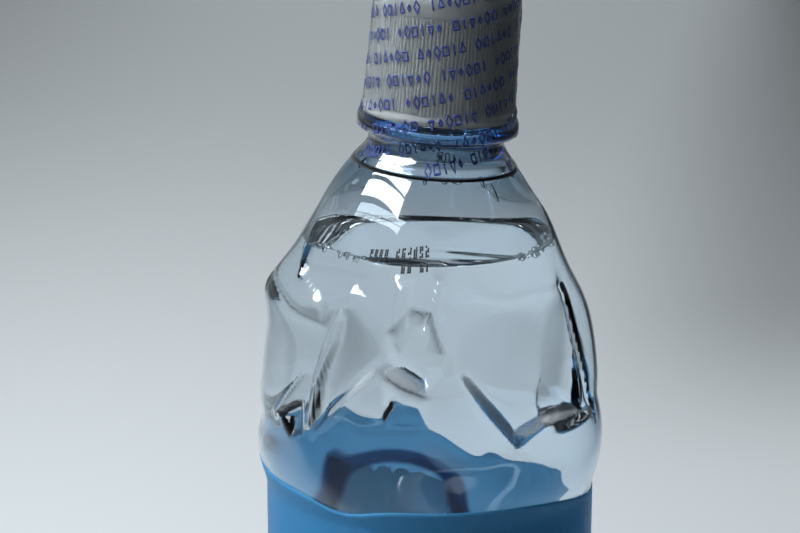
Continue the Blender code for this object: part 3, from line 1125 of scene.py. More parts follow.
    def wall_loops(self, distance: float, around: np.ndarray, highest: float = math.inf) -> list[np.ndarray]:
        """Draws loops of the crumpled wall from the base up, without the base centre.

        Args:
            distance: Distance inside the outer face.
            around: Angles of the points.
            highest: Level over which no loop is drawn.

        Returns:
            The leaned loops.
        """
        line = self.wall_line(distance)
        return [
            self.lean(loop_at(r + self.crumple(around, z), z, around)) for r, z in line[1:] if z <= highest
        ]


def smooth_through(xs: np.ndarray, ys: np.ndarray, at: np.ndarray) -> np.ndarray:
    """Draws a smooth curve through points, which doesn't overshoot between them.

    Args:
        xs: Rising places of the points.
        ys: Their values.
        at: Where the curve is wanted.

    Returns:
        The curve's values.
    """
    slope = np.diff(ys) / np.diff(xs)
    tangent = np.concatenate([slope[:1], (slope[1:] + slope[:-1]) / 2, slope[-1:]])
    k = np.clip(np.searchsorted(xs, at, side="right") - 1, 0, len(xs) - 2)
    width = xs[k + 1] - xs[k]
    t = np.clip((at - xs[k]) / width, 0.0, 1.0)
    h00, h10 = 2 * t**3 - 3 * t**2 + 1, t**3 - 2 * t**2 + t
    h01, h11 = -2 * t**3 + 3 * t**2, t**3 - t**2
    return h00 * ys[k] + h10 * width * tangent[k] + h01 * ys[k + 1] + h11 * width * tangent[k + 1]


def distance_to_line(s: np.ndarray, z: np.ndarray, points: list) -> np.ndarray:
    """Measures the shortest way from each place to a line of straight runs.

    Args:
        s: Arc lengths of the places.
        z: Their levels.
        points: The line's corners as (arc length, level).

    Returns:
        The distances.
    """
    nearest = np.full(np.shape(s), np.inf)
    for (s0, z0), (s1, z1) in zip(points, points[1:]):
        ds, dz = s1 - s0, z1 - z0
        share = np.clip(((s - s0) * ds + (z - z0) * dz) / (ds * ds + dz * dz), 0.0, 1.0)
        nearest = np.minimum(nearest, np.hypot(s - s0 - share * ds, z - z0 - share * dz))
    return nearest


def inside_rim(s: np.ndarray, z: np.ndarray, points: list) -> np.ndarray:
    """Finds which places lie inside a closed rim.

    Args:
        s: Arc lengths of the places.
        z: Their levels.
        points: The rim's corners as (arc length, level).

    Returns:
        True for each place inside.
    """
    found = np.zeros(np.shape(s), bool)
    for (s0, z0), (s1, z1) in zip(points, points[1:] + points[:1]):
        if z0 == z1:
            continue
        crosses = (z0 > z) != (z1 > z)
        found ^= crosses & (s < s0 + (z - z0) * (s1 - s0) / (z1 - z0))
    return found


# --------------------------------------------------------------------------------------
# Bottle, water and label
# --------------------------------------------------------------------------------------
@dataclass
class Bottle:
    """The blown bottle with its moulded neck finish and support ring.

    The half width of the thread's ridge, and the fade at its ends, are shares of a turn;
    its flank says how steeply it rises.
    """

    form: BottleForm
    ring_radius: float = 16.5
    neck_radius: float = 13.6
    finish_radius: float = 12.5
    bore_radius: float = 10.9
    mouth_level: float = 233.0
    thread_pitch: float = 2.7
    thread_height: float = 1.15
    thread_turns: float = 2.3
    thread_top: float = 231.0
    thread_half: float = 0.22
    thread_flank: float = 1.6
    thread_fade: float = 0.4
    finish_rows: int = 34

    def neck_line(self) -> list[tuple[float, float]]:
        """Draws the neck from its root, over the ring and the lip, and down the bore.

        Returns:
            Its points as (radius, level).
        """
        line = [
            (15.6, 208.1), (14.7, 209.1), (14.0, 210.1), (self.neck_radius, 211.2), (self.neck_radius, 212.8),
            (13.9, 213.15), (15.9, 213.4), (16.35, 213.65), (self.ring_radius, 214.1),
            (self.ring_radius, 215.3), (16.35, 215.7), (15.9, 215.95), (13.2, 216.1), (12.8, 216.4),
            (self.finish_radius, 217.0),
        ]
        for level in np.linspace(218.0, self.mouth_level - 1.0, self.finish_rows):
            line.append((self.finish_radius, float(level)))
        line += [
            (self.finish_radius - 0.1, 232.6), (12.1, self.mouth_level), (11.4, self.mouth_level),
            (11.0, 232.8), (self.bore_radius, 232.3), (self.bore_radius, 224.0), (self.bore_radius, 215.0),
            (11.0, 212.5), (11.5, 210.6), (12.6, 209.2), (14.2, 208.2),
        ]
        return line

    def thread(self, angle: np.ndarray, level: float) -> np.ndarray:
        """Reckons the height of the thread's ridge over the neck.

        Args:
            angle: Angles round the neck.
            level: Their level.

        Returns:
            The height at each angle.
        """
        turns = (self.thread_top - level) / self.thread_pitch
        phase = (turns - np.asarray(angle) / 360.0) % 1.0
        ridge = np.clip(1.0 - np.abs(phase - 0.5) / self.thread_half, 0.0, 1.0)
        start = ramp(turns, 0.0, self.thread_fade)
        ends = start * (1.0 - ramp(turns, self.thread_turns, self.thread_turns + self.thread_fade))
        return self.thread_height * np.minimum(self.thread_flank * ridge, 1.0) * ends

    def build(self, material: Material) -> Object:
        """Makes the bottle.

        Args:
            material: The finish.

        Returns:
            The finished piece.
        """
        around = self.form.columns()
        loops = self.form.wall_loops(0.0, around)
        for radius, level in self.neck_line():
            ridge = self.thread(around, level) if radius == self.finish_radius else 0.0
            loops.append(self.form.lean(loop_at(radius + ridge, level, around), whole=True))
        inner = self.form.wall_loops(self.form.wall, around)
        loops += inner[::-1]
        line = self.form.wall_line(0.0)
        low = line[0, 1]
        points, faces = skin(loops, poles=((0, 0, low), (0, 0, low + self.form.wall)))
        piece = mesh_object("bottle_shell", points, faces, material)
        cloudy = [self.form.haze(around, z) for z in line[1:, 1]]
        clear = [np.zeros(len(around))] * (len(loops) - 2 * len(cloudy))
        values = np.concatenate([*cloudy, *clear, *cloudy[::-1], (0.0, 0.0)])
        piece.data.attributes.new("haze", "FLOAT", "POINT").data.foreach_set("value", values)
        return keep(piece, Slot.CLEAR_PET, "bottle")


@dataclass
class Water:
    """The water, whose face follows the inside of the wall.

    Insets are the distances of the surface's loops from its edge.
    """

    form: BottleForm
    gap: float = 0.02
    meniscus_height: float = 0.9
    meniscus_reach: float = 0.9
    edge_drop: float = 0.4
    edge_shares: tuple = (0.25, 0.5, 0.75, 1.0)
    insets: tuple = (0.25, 0.6, 1.1, 1.8, 2.8, 4.5, 8.0, 13.0, 19.0)

    def build(self, material: Material) -> Object:
        """Makes the water.

        Args:
            material: The finish.

        Returns:
            The finished piece.
        """
        around = self.form.columns()
        distance = self.form.wall + self.gap
        loops = self.form.wall_loops(distance, around, self.form.water_level - self.edge_drop)
        below, edge = loops[-1], self.edge_loop(distance, around)
        loops += [below + (edge - below) * share for share in self.edge_shares]
        loops += self.surface_loops(edge)
        low = self.form.wall_line(distance)[0, 1]
        points, faces = skin(loops, poles=((0, 0, low), (0, 0, self.form.water_level)))
        piece = mesh_object("water_fill", points, faces, material)
        return keep(piece, Slot.WATER, "water")

    def edge_loop(self, distance: float, around: np.ndarray) -> np.ndarray:
        """The line where the water's top meets the wall, raised by the meniscus."""
        level = self.form.water_level + self.meniscus_height
        return loop_at(self.form.radius_at(around, level, distance), level, around)

    def surface_loops(self, edge: np.ndarray) -> list[np.ndarray]:
        """Draws the level surface from the edge to the middle.

        Args:
            edge: The line where it meets the wall.

        Returns:
            Its loops.
        """
        loops = []
        radius = np.hypot(edge[:, 0], edge[:, 1])[:, None]
        for inset in self.insets:
            loop = edge * (1.0 - inset / radius)
            rise = self.meniscus_height * math.exp(-inset / self.meniscus_reach)
            loop[:, 2] = self.form.water_level + rise
            loops.append(loop)
        return loops


@dataclass
class Label:
    """The wrap-around label film.

    Each dip of its upper edge is an angle, a half width in degrees and a depth. Its rows
    are spaced evenly up to one share of its height and set closer from the next.
    """

    form: BottleForm
    low: float = 74.0
    top: float = 143.0
    dips: tuple = ((-30.0, 12.0, 2.0), (88.0, 38.0, 6.8), (163.0, 13.0, 10.5), (147.0, 11.0, 6.5))
    gap: float = 0.06
    thickness: float = 0.08
    even_to: float = 0.85
    dipped_from: float = 0.88

    def top_at(self, around: np.ndarray) -> np.ndarray:
        """Draws the upper edge, which dips most at the right and the back.

        Args:
            around: Angles round the bottle.

        Returns:
            The edge's level at each angle.
        """
        level = np.full(np.shape(around), self.top)
        for angle, reach, depth in self.dips:
            away = wrapped(around - angle) / reach
            level = level - depth * np.exp(-away * away)
        return level

    def build(self, outer: Material, inner: Material) -> Object:
        """Makes the label.

        Args:
            outer: The finish of the printed face.
            inner: The finish of the face that lies on the bottle, a lighter blue that is partly painted
                light.

        Returns:
            The finished piece.
        """
        around = self.form.columns()
        line = self.form.wall_line(0.0)[len(self.form.base_line) :]
        top = self.top_at(around)
        inside, outside = [], []
        shares = np.concatenate([np.linspace(0.0, self.even_to, 6), np.linspace(self.dipped_from, 1.0, 9)])
        for share in shares:
            level = self.low + share * (top - self.low)
            radius = np.interp(level, line[:, 1], line[:, 0]) + self.form.crumple(around, level) + self.gap
            inside.append(loop_at(radius, level, around))
            outside.append(loop_at(radius + self.thickness, level, around))
        points, faces = skin(outside + inside[::-1], closed=True)
        piece = mesh_object("wrap_label", points, faces, outer)
        piece.data.materials.append(inner)
        half, edge = len(faces) // 2, len(around)
        faced_in = np.repeat([0, 1, 0], [len(faces) - half, half - edge, edge])
        piece.data.polygons.foreach_set("material_index", faced_in)
        return keep(piece, Slot.LABEL_FILM, "label")


@dataclass
class CloudedSkin:
    """Thin clouded skins along the sharpest creases, a wide one and over it a narrower one.

    A skin narrows to tip_share of its width at its ends, and widens by taper for each
    millimetre inwards. Only a crease whose strength is over twofold_over gets both.
    """

    form: BottleForm
    lift: float = 0.1
    thickness: float = 0.04
    step: float = 0.4
    shares: tuple = (1.0, 0.6)
    layer_step: float = 0.06
    twofold_over: float = 0.5
    points_across: int = 7
    tip_share: float = 0.3
    taper: float = 0.5

    def build(self, material: Material) -> None:
        """Makes a skin for every clouded crease.

        Args:
            material: The finish.
        """
        points, faces = [], []
        for crease in WHITENED:
            layers = 2 if crease.strength > self.twofold_over else 1
            for layer, share in enumerate(self.shares[:layers]):
                made, joined = self.strip(crease, share * crease.half, self.lift + self.layer_step * layer)
                first = sum(len(p) for p in points)
                points.append(made)
                faces += [tuple(i + first for i in face) for face in joined]
        keep(mesh_object("clouded_creases", np.concatenate(points), faces, material))

    def strip(self, crease: Whitening, half: float, lift: float) -> tuple[np.ndarray, list]:
        """Lays one skin along a crease.

        Args:
            crease: The clouded crease.
            half: Half the skin's width.
            lift: The skin's distance from the wall.

        Returns:
            The points and the faces.
        """
        line = np.array([(math.radians(a) * self.form.unroll_radius, z) for a, z in crease.line])
        runs = np.hypot(*np.diff(line, axis=0).T)
        along = np.concatenate([[0.0], np.cumsum(runs)])
        loops = []
        for at in np.arange(0.0, along[-1], self.step):
            k = min(int(np.searchsorted(along, at, side="right")) - 1, len(runs) - 1)
            ahead = (line[k + 1] - line[k]) / runs[k]
            middle = line[k] + ahead * (at - along[k])
            wide = half * min(1.0, self.tip_share + self.taper * min(at, along[-1] - at))
            across = np.linspace(-wide, wide, self.points_across)
            sheet = middle + across[:, None] * np.array([ahead[1], -ahead[0]])
            both = np.concatenate([sheet, sheet[::-1]])
            rise = np.repeat([lift + self.thickness, lift], self.points_across)
            loops.append(np.stack([both[:, 0], rise, both[:, 1]], axis=1))
        poles = (loops[0].mean(axis=0), loops[-1].mean(axis=0))
        points, faces = skin(loops, poles=poles)
        return self.form.wrapped_on(points, 0.0), faces


@dataclass
class DotMark:
    """A row of dotted ticks stamped on the shoulder.

    A tick fills the first tick_columns of every tick_every columns, and a gap is left
    round the column gap_at.
    """

    form: BottleForm
    name: str
    start: float
    level: float
    slope: float
    columns: int
    gap_at: int
    rows: int = 5
    column_step: float = 0.52
    row_step: float = 0.42
    dot: float = 0.3
    seed: int = 4
    tick_every: float = 3.0
    tick_columns: float = 1.5
    gap_half: float = 1.5
    printed_share: float = 0.88
    flatness: float = 0.12
    lift: float = 0.02

    def build(self, ink: Material) -> Object:
        """Makes the mark.

        Args:
            ink: The finish.

        Returns:
            The finished piece.
        """
        shape = NodeShape(
            self.name,
            {
                "Columns": self.columns,
                "Rows": self.rows,
                "Column Step": self.column_step,
                "Row Step": self.row_step,
                "Slope": self.slope,
                "Dot": self.dot,
            },
        )
        given = shape.given
        count = shape.add(MATH, {0: given["Columns"], 1: given["Rows"]}, operation="MULTIPLY")
        points = shape.add("GeometryNodePoints", {"Count": count})
        index = shape.add("GeometryNodeInputIndex")
        row = shape.add(MATH, {0: index, 1: given["Rows"]}, operation="MODULO")
        filled = shape.add(MATH, {0: index, 1: given["Rows"]}, operation="DIVIDE")
        column = shape.add(MATH, {0: filled}, operation="FLOOR")
        along = shape.add(MATH, {0: column, 1: given["Column Step"]}, operation="MULTIPLY")
        climb = shape.add(MATH, {0: along, 1: given["Slope"]}, operation="MULTIPLY")
        level = shape.add(MATH, {0: row, 1: given["Row Step"], 2: climb}, operation="MULTIPLY_ADD")
        place = shape.add("ShaderNodeCombineXYZ", {"X": along, "Z": level})
        laid = shape.add("GeometryNodeSetPosition", {"Geometry": points, "Position": place})
        beat = shape.add(MATH, {0: column, 1: self.tick_every}, operation="MODULO")
        tick = shape.add(MATH, {0: beat, 1: self.tick_columns}, operation="LESS_THAN")
        off = shape.add(MATH, {0: column, 1: float(self.gap_at)}, operation="SUBTRACT")
        apart = shape.add(MATH, {0: off}, operation="ABSOLUTE")
        clear = shape.add(MATH, {0: apart, 1: self.gap_half}, operation="GREATER_THAN")
        chance = shape.add(
            "FunctionNodeRandomValue",
            {"Probability": self.printed_share, "ID": index, "Seed": self.seed},
            data_type="BOOLEAN",
        )
        kept = shape.add(MATH, {0: tick, 1: clear}, operation="MULTIPLY")
        kept = shape.add(MATH, {0: kept, 1: chance.outputs[3]}, operation="MULTIPLY")
        ball = shape.add("GeometryNodeMeshIcoSphere", {"Radius": given["Dot"], "Subdivisions": 1})
        dots = shape.add(
            "GeometryNodeInstanceOnPoints", {"Points": laid, "Selection": kept, "Instance": ball}
        )
        return keep(reshaped(shape.finish(dots, ink), self.on_wall))

    def on_wall(self, points: np.ndarray) -> np.ndarray:
        """Lays the flattened dots on the wall.

        Args:
            points: Points of the dots in their unrolled rows.

        Returns:
            The points on the bottle.
        """
        flat = points * (1.0, self.flatness, 1.0)
        start = math.radians(self.start) * self.form.unroll_radius
        return self.form.wrapped_on(flat + (start, self.lift, self.level), 0.0)


@dataclass
class Bubbles:
    """A row of small bubbles that cling to the wall at the water's edge."""

    form: BottleForm
    name: str
    start: float
    end: float
    count: int
    smallest: float
    largest: float
    seed: int
    scatter: tuple = (-0.5, 0.5)
    inset: tuple = (-1.5, -0.1)
    rise: tuple = (-0.3, 0.7)
    clearance: float = 1.2
    wall_lift: float = 0.5

    def build(self, material: Material) -> Object:
        """Makes the bubbles.

        Args:
            material: The finish.

        Returns:
            The finished piece.
        """
        shape = NodeShape(
            self.name,
            {
                "Count": self.count,
                "Seed": self.seed,
                "Length": math.radians(self.end - self.start) * self.form.unroll_radius,
                "Smallest": self.smallest,
                "Largest": self.largest,
            },
        )
        given = shape.given
        points = shape.add("GeometryNodePoints", {"Count": given["Count"]})
        index = shape.add("GeometryNodeInputIndex")
        share = shape.add(MATH, {0: index, 1: given["Count"]}, operation="DIVIDE")
        size = self.chance(shape, 0, given["Smallest"], given["Largest"])
        scatter = self.chance(shape, 1, *self.scatter)
        along = shape.add(MATH, {0: share, 1: given["Length"], 2: scatter}, operation="MULTIPLY_ADD")
        inset = self.chance(shape, 2, *self.inset)
        inwards = shape.add(MATH, {0: size, 1: -self.clearance, 2: inset}, operation="MULTIPLY_ADD")
        level = self.chance(shape, 3, *self.rise)
        place = shape.add("ShaderNodeCombineXYZ", {"X": along, "Y": inwards, "Z": level})
        laid = shape.add("GeometryNodeSetPosition", {"Geometry": points, "Position": place})
        ball = shape.add("GeometryNodeMeshIcoSphere", {"Radius": 1.0, "Subdivisions": 3})
        sizes = shape.add("ShaderNodeCombineXYZ", {"X": size, "Y": size, "Z": size})
        balls = shape.add("GeometryNodeInstanceOnPoints", {"Points": laid, "Instance": ball, "Scale": sizes})
        return keep(reshaped(shape.finish(balls, material), self.on_wall))

    def chance(
        self,
        shape: NodeShape,
        step: int,
        low: NodeSocket | float,
        high: NodeSocket | float,
    ) -> NodeSocket:
        """Draws a random value for each bubble.

        Args:
            shape: The tree.
            step: Number of the draw, so that each draw is its own.
            low: The lowest value.
            high: The highest value.

        Returns:
            The value.
        """
        seed = shape.add(MATH, {0: shape.given["Seed"], 1: float(step)}, operation="ADD")
        made = shape.add("FunctionNodeRandomValue", {2: low, 3: high, "Seed": seed}, data_type="FLOAT")
        return made.outputs[1]

    def on_wall(self, points: np.ndarray) -> np.ndarray:
        """Lays the bubbles, still round, along the inside of the wall at the water's level.

        Args:
            points: Points of the bubbles in their unrolled row.

        Returns:
            The points in the bottle.
        """
        turn = points[:, 0] / self.form.unroll_radius + math.radians(self.start)
        level = np.full(len(turn), self.form.water_level + self.wall_lift)
        radius = self.form.radius_at(np.degrees(turn), level, self.form.wall) + points[:, 1]
        height = self.form.water_level + points[:, 2]
        return np.stack([radius * np.sin(turn), -radius * np.cos(turn), height], axis=1)


@dataclass
class Droplets:
    """Flat drops of water inside the shoulder, each as (angle, level, half width, half height)."""

    form: BottleForm
    drops: tuple = (
        (-66.0, 206.2, 1.6, 1.0), (-48.0, 205.4, 0.7, 0.6), (-7.6, 205.6, 0.9, 0.5), (6.0, 205.8, 1.5, 0.35),
        (15.0, 205.9, 2.4, 0.45), (34.5, 205.6, 0.9, 1.0), (41.6, 203.6, 0.8, 1.7), (70.0, 205.8, 1.2, 0.8),
    )
    thickness: float = 0.45

    def build(self, material: Material) -> Object:
        """Makes the drops.

        Args:
            material: The finish.

        Returns:
            The finished piece.
        """
        shape = NodeShape("shoulder_droplets", {"Thickness": self.thickness})
        thickness = shape.given["Thickness"]
        ball = shape.add("GeometryNodeMeshIcoSphere", {"Radius": 1.0, "Subdivisions": 4})
        joined = shape.add("GeometryNodeJoinGeometry")
        for angle, level, wide, high in self.drops:
            s = math.radians(angle) * self.form.unroll_radius
            size = shape.add("ShaderNodeCombineXYZ", {"X": wide, "Y": thickness, "Z": high})
            drop = shape.add(
                "GeometryNodeTransform", {"Geometry": ball, "Translation": (s, 0.0, level), "Scale": size}
            )
            shape.tree.links.new(drop.outputs[0], joined.inputs[0])
        piece = shape.finish(joined, material)
        return keep(reshaped(piece, lambda points: self.form.wrapped_on(points, self.form.wall)))


# --------------------------------------------------------------------------------------
# Closure and shrink seal, built upright on the neck axis and then leaned
# --------------------------------------------------------------------------------------
@dataclass(frozen=True)
class TurnedPart:
    """A turned piece on the leaning neck: its outline as (radius, level) and its steps around.

    The outline runs counter-clockwise seen from the front. It joins its start again, or
    else its start and its end are closed on the axis at the levels poles.
    """

    form: BottleForm
    name: str
    line: list
    steps: int
    poles: tuple = (None, None)

    def turn(self, material: Material) -> Object:
        """Turns the outline about the neck axis.

        Args:
            material: The finish.

        Returns:
            The leaned mesh object.
        """
        around = np.linspace(0.0, 360.0, self.steps, endpoint=False)
        loops = [loop_at(r, z, around) for r, z in self.line]
        tips = tuple(None if level is None else (0.0, 0.0, level) for level in self.poles)
        points, faces = skin(loops, tips[0] is None, tips)
        made = mesh_object(self.name, self.form.lean(points, whole=True), faces, material)
        made.data.set_sharp_from_angle(angle=math.radians(50))
        return made


@dataclass
class Closure:
    """White closure shell with fine ribs, a plain collar, a sealing plate and a post."""

    form: BottleForm
    bottom: float = 217.0
    rib_bottom: float = 219.0
    rib_top: float = 238.0
    collar_top: float = 243.0
    low_radius: float = 15.6
    high_radius: float = 14.9
    bore: float = 14.1
    plate_bottom: float = 233.3
    plate_top: float = 235.2
    snap_radius: float = 13.0
    snap_bore: float = 11.9
    snap_top: float = 246.5
    post_radius: float = 4.4
    passage_radius: float = 2.6
    post_top: float = 248.0
    rib_count: int = 120
    rib_depth: float = 0.35
    rib_half_width: float = 0.36
    rib_sunk: float = 0.1
    band_lip: float = 0.35

    def outline(self) -> list[tuple[float, float]]:
        """Draws the closure's section.

        Returns:
            Its points as (radius, level).
        """
        lip = self.low_radius + self.band_lip
        valley_low, valley_high = self.low_radius - self.rib_depth, self.high_radius - self.rib_depth
        return [
            (self.bore, self.bottom), (lip - 0.15, self.bottom), (lip, self.bottom + 0.2),
            (lip, self.bottom + 1.0), (lip - 0.2, self.bottom + 1.3), (valley_low, self.rib_bottom),
            (valley_high, self.rib_top), (self.high_radius - 0.1, self.rib_top + 0.5),
            (self.high_radius, self.rib_top + 0.9), (self.high_radius - 0.15, self.collar_top - 1.6),
            (self.high_radius - 0.4, self.collar_top - 0.7), (self.high_radius - 0.9, self.collar_top - 0.15),
            (self.high_radius - 1.3, self.collar_top), (self.snap_radius, self.collar_top),
            (self.snap_radius, self.snap_top), (self.snap_bore, self.snap_top),
            (self.snap_bore, self.plate_top), (self.post_radius, self.plate_top),
            (self.post_radius, self.post_top), (self.passage_radius, self.post_top),
            (self.passage_radius, self.plate_bottom), (self.bore, self.plate_bottom),
        ]

    def build(self, material: Material) -> Object:
        """Makes the closure shell.

        Args:
            material: The finish.

        Returns:
            The finished piece.
        """
        made = TurnedPart(self.form, "closure_shell", self.outline(), self.rib_count).turn(material)
        self.ribs(material)
        return keep(made, Slot.WHITE_PLASTIC, "closure_base")

    def ribs(self, material: Material) -> Object:
        """Sets the fine upright ribs round the closure.

        Args:
            material: The finish.

        Returns:
            The finished piece.
        """
        sunk = self.rib_depth + self.rib_sunk
        low, high = self.low_radius - sunk, self.high_radius - sunk
        shape = NodeShape("closure_ribs", {"Count": self.rib_count, "Half Width": self.rib_half_width})
        given = shape.given
        line = shape.add(
            "GeometryNodeCurvePrimitiveLine",
            {"Start": (0.0, -low, self.rib_bottom + 0.1), "End": (0.0, -high, self.rib_top + 0.2)},
        )
        round_rod = shape.add(
            "GeometryNodeCurvePrimitiveCircle", {"Resolution": 10, "Radius": given["Half Width"]}
        )
        rib = shape.add(
            "GeometryNodeCurveToMesh", {"Curve": line, "Profile Curve": round_rod, "Fill Caps": True}
        )
        points = shape.add("GeometryNodePoints", {"Count": given["Count"]})
        index = shape.add("GeometryNodeInputIndex")
        share = shape.add(MATH, {0: index, 1: given["Count"]}, operation="DIVIDE")
        turn = shape.add(MATH, {0: share, 1: 2 * math.pi}, operation="MULTIPLY")
        turned = shape.add("ShaderNodeCombineXYZ", {"Z": turn})
        ring = shape.add(
            "GeometryNodeInstanceOnPoints", {"Points": points, "Instance": rib, "Rotation": turned}
        )
        piece = reshaped(shape.finish(ring, material), lambda points: self.form.lean(points, whole=True))
        piece.data.set_sharp_from_angle(angle=math.radians(50))
        return keep(piece, Slot.WHITE_PLASTIC)


@dataclass
class Spout:
    """The push-pull spout under the dust cap."""

    form: BottleForm
    bottom: float = 235.5
    top: float = 252.0
    bore: float = 4.7
    radius: float = 7.2
    flange: float = 8.8
    hole: float = 1.6

    def build(self, material: Material) -> Object:
        """Makes the spout with rounded edges.

        Args:
            material: The finish.

        Returns:
            The finished piece.
        """
        r, low, high = self.radius, self.bottom, self.top
        line = [
            (self.bore, low), (self.flange - 0.2, low), (self.flange, low + 0.2), (self.flange, low + 1.2),
            (self.flange - 0.3, low + 1.5), (r + 0.4, low + 1.8), (r, low + 2.4), (r - 0.6, high - 3.4),
            (r - 0.3, high - 2.8), (r + 0.4, high - 2.2), (r + 0.5, high - 1.7), (r + 0.2, high - 1.0),
            (r - 0.6, high - 0.3), (r - 1.8, high), (self.hole + 0.2, high), (self.hole, high - 0.2),
            (self.hole, high - 2.8), (self.bore, high - 2.8),
        ]
        made = TurnedPart(self.form, "push_pull_spout", line, 64).turn(material)
        return keep(made, Slot.NATURAL_PLASTIC, "drinking_spout")


@dataclass
class DustCap:
    """The dark cap over the spout."""

    form: BottleForm
    bottom: float = 243.3
    top: float = 255.0
    radius: float = 14.4
    wall: float = 1.1
    edge_radius: float = 3.0

    def build(self, material: Material) -> Object:
        """Makes the dust cap with a rounded top edge.

        Args:
            material: The finish.

        Returns:
            The finished piece.
        """
        r, t = self.radius, self.wall
        hollow = [(5.0, self.top - t), (r - t - 2.2, self.top - t - 0.2), (r - t - 0.6, self.top - t - 1.2)]
        hollow += [(r - t - 0.2, self.top - 4.0), (r - t, self.bottom + 0.2), (r - t + 0.2, self.bottom)]
        outer = [(r - 0.2, self.bottom), (r, self.bottom + 0.25), (r - 0.25, self.top - 4.0)]
        edge = self.edge_radius
        for turn in np.radians(np.linspace(0.0, 80.0, 7)):
            outer.append((r - 0.3 - edge * (1 - math.cos(turn)), self.top - 3.3 + edge * math.sin(turn)))
        outer.append((5.0, self.top - 0.03))
        poles = (self.top - t, self.top)
        made = TurnedPart(self.form, "spout_dust_cap", hollow + outer, 96, poles).turn(material)
        return keep(made, Slot.DARK_BLUE_PLASTIC, "dust_cap")


@dataclass
class ShrinkSeal:
    """Clear film shrunk over closure, support ring and neck.

    Its gathers twist by gather_twist radians for each millimetre up. The slack is a bulge
    at an angle and a level, with its reach round the film and up.
    """

    form: BottleForm
    bottom: float = 206.4
    top: float = 250.5
    thickness: float = 0.07
    near: float = 0.08
    gathers: int = 9
    gather_depth: float = 0.05
    gather_twist: float = 0.11
    slack: float = 0.25
    slack_at: tuple = (78.0, 238.0)
    slack_reach: tuple = (20.0, 4.5)
    closure_rows: tuple = (219.6, 243.0, 22)

    def outline(self) -> list[tuple[float, float]]:
        """Draws the film's inner face from its lower edge up.

        Returns:
            Its points as (radius, level).
        """
        n = self.near
        return [
            (17.2 + n, self.bottom), (16.5 + n, 207.3), (15.5 + n, 208.4), (14.6 + n, 209.5),
            (14.0 + n, 210.6), (13.8 + n, 211.8), (14.2 + n, 212.7), (15.6 + n, 213.2), (16.5 + n, 213.8),
            (16.55 + n, 214.8), (16.5 + n, 215.8), (16.2 + n, 216.6), (15.95 + n, 217.2),
            (15.95 + n, 218.2), (15.75 + n, 218.8), (15.6 + n, 219.6), (15.25 + n, 228.0),
            (14.92 + n, 238.0), (14.9 + n, 239.5), (14.75 + n, 241.6), (14.5 + n, 243.2),
            (14.45 + n, 245.0), (14.3 + n, 248.0), (14.2 + n, self.top),
        ]

    def build(self, material: Material) -> Object:
        """Makes the film.

        Args:
            material: The finish.

        Returns:
            The finished piece.
        """
        levels = np.array([z for _, z in self.outline()])
        rows = np.sort(np.concatenate([levels, np.linspace(*self.closure_rows)[1:-1]]))
        around = np.linspace(0.0, 360.0, 160, endpoint=False)
        inside = [loop_at(self.radius_at(around, z), z, around) for z in rows]
        outside = [loop_at(self.radius_at(around, z) + self.thickness, z, around) for z in rows]
        points, faces = skin(outside + inside[::-1], closed=True)
        piece = mesh_object("shrink_film", self.form.lean(points, whole=True), faces, material)
        return keep(piece, Slot.SHRINK_FILM, "shrink_seal")

    def radius_at(self, around: np.ndarray, level: np.ndarray | float) -> np.ndarray:
        """Reckons the film's inner face, which stands off where the film gathered.

        Args:
            around: Angles round the film.
            level: Their levels.

        Returns:
            The radii.
        """
        radii, levels = zip(*self.outline())
        wave = self.gather_depth * (1 + np.sin(np.radians(around) * self.gathers + level * self.gather_twist))
        side = wrapped(around - self.slack_at[0]) / self.slack_reach[0]
        rise = (level - self.slack_at[1]) / self.slack_reach[1]
        slack = self.slack * np.exp(-(side**2) - rise**2)
        return np.interp(level, levels, radii) + wave + slack


@dataclass(frozen=True)
class Mark:
    """A plain mark of the print: its corners and runs, half its stroke, its spin and its size.

    The stroke is measured against the mark before it is stretched to its half width and
    half height.
    """

    corners: int
    runs: int
    half: float
    spin: float
    size: tuple[float, float]

    def draw(self, shape: NodeShape) -> Node:
        """Draws the mark, standing upright.

        Args:
            shape: The tree.

        Returns:
            The node that gives its mesh.
        """
        drawn = shape.outline(self.corners, self.runs, self.half)
        spin = (0.0, 0.0, math.radians(self.spin))
        spun = shape.add("GeometryNodeTransform", {"Geometry": drawn, "Rotation": spin})
        upright = (math.radians(90.0), 0.0, 0.0)
        return shape.add(
            "GeometryNodeTransform", {"Geometry": spun, "Rotation": upright, "Scale": (*self.size, 1.0)}
        )


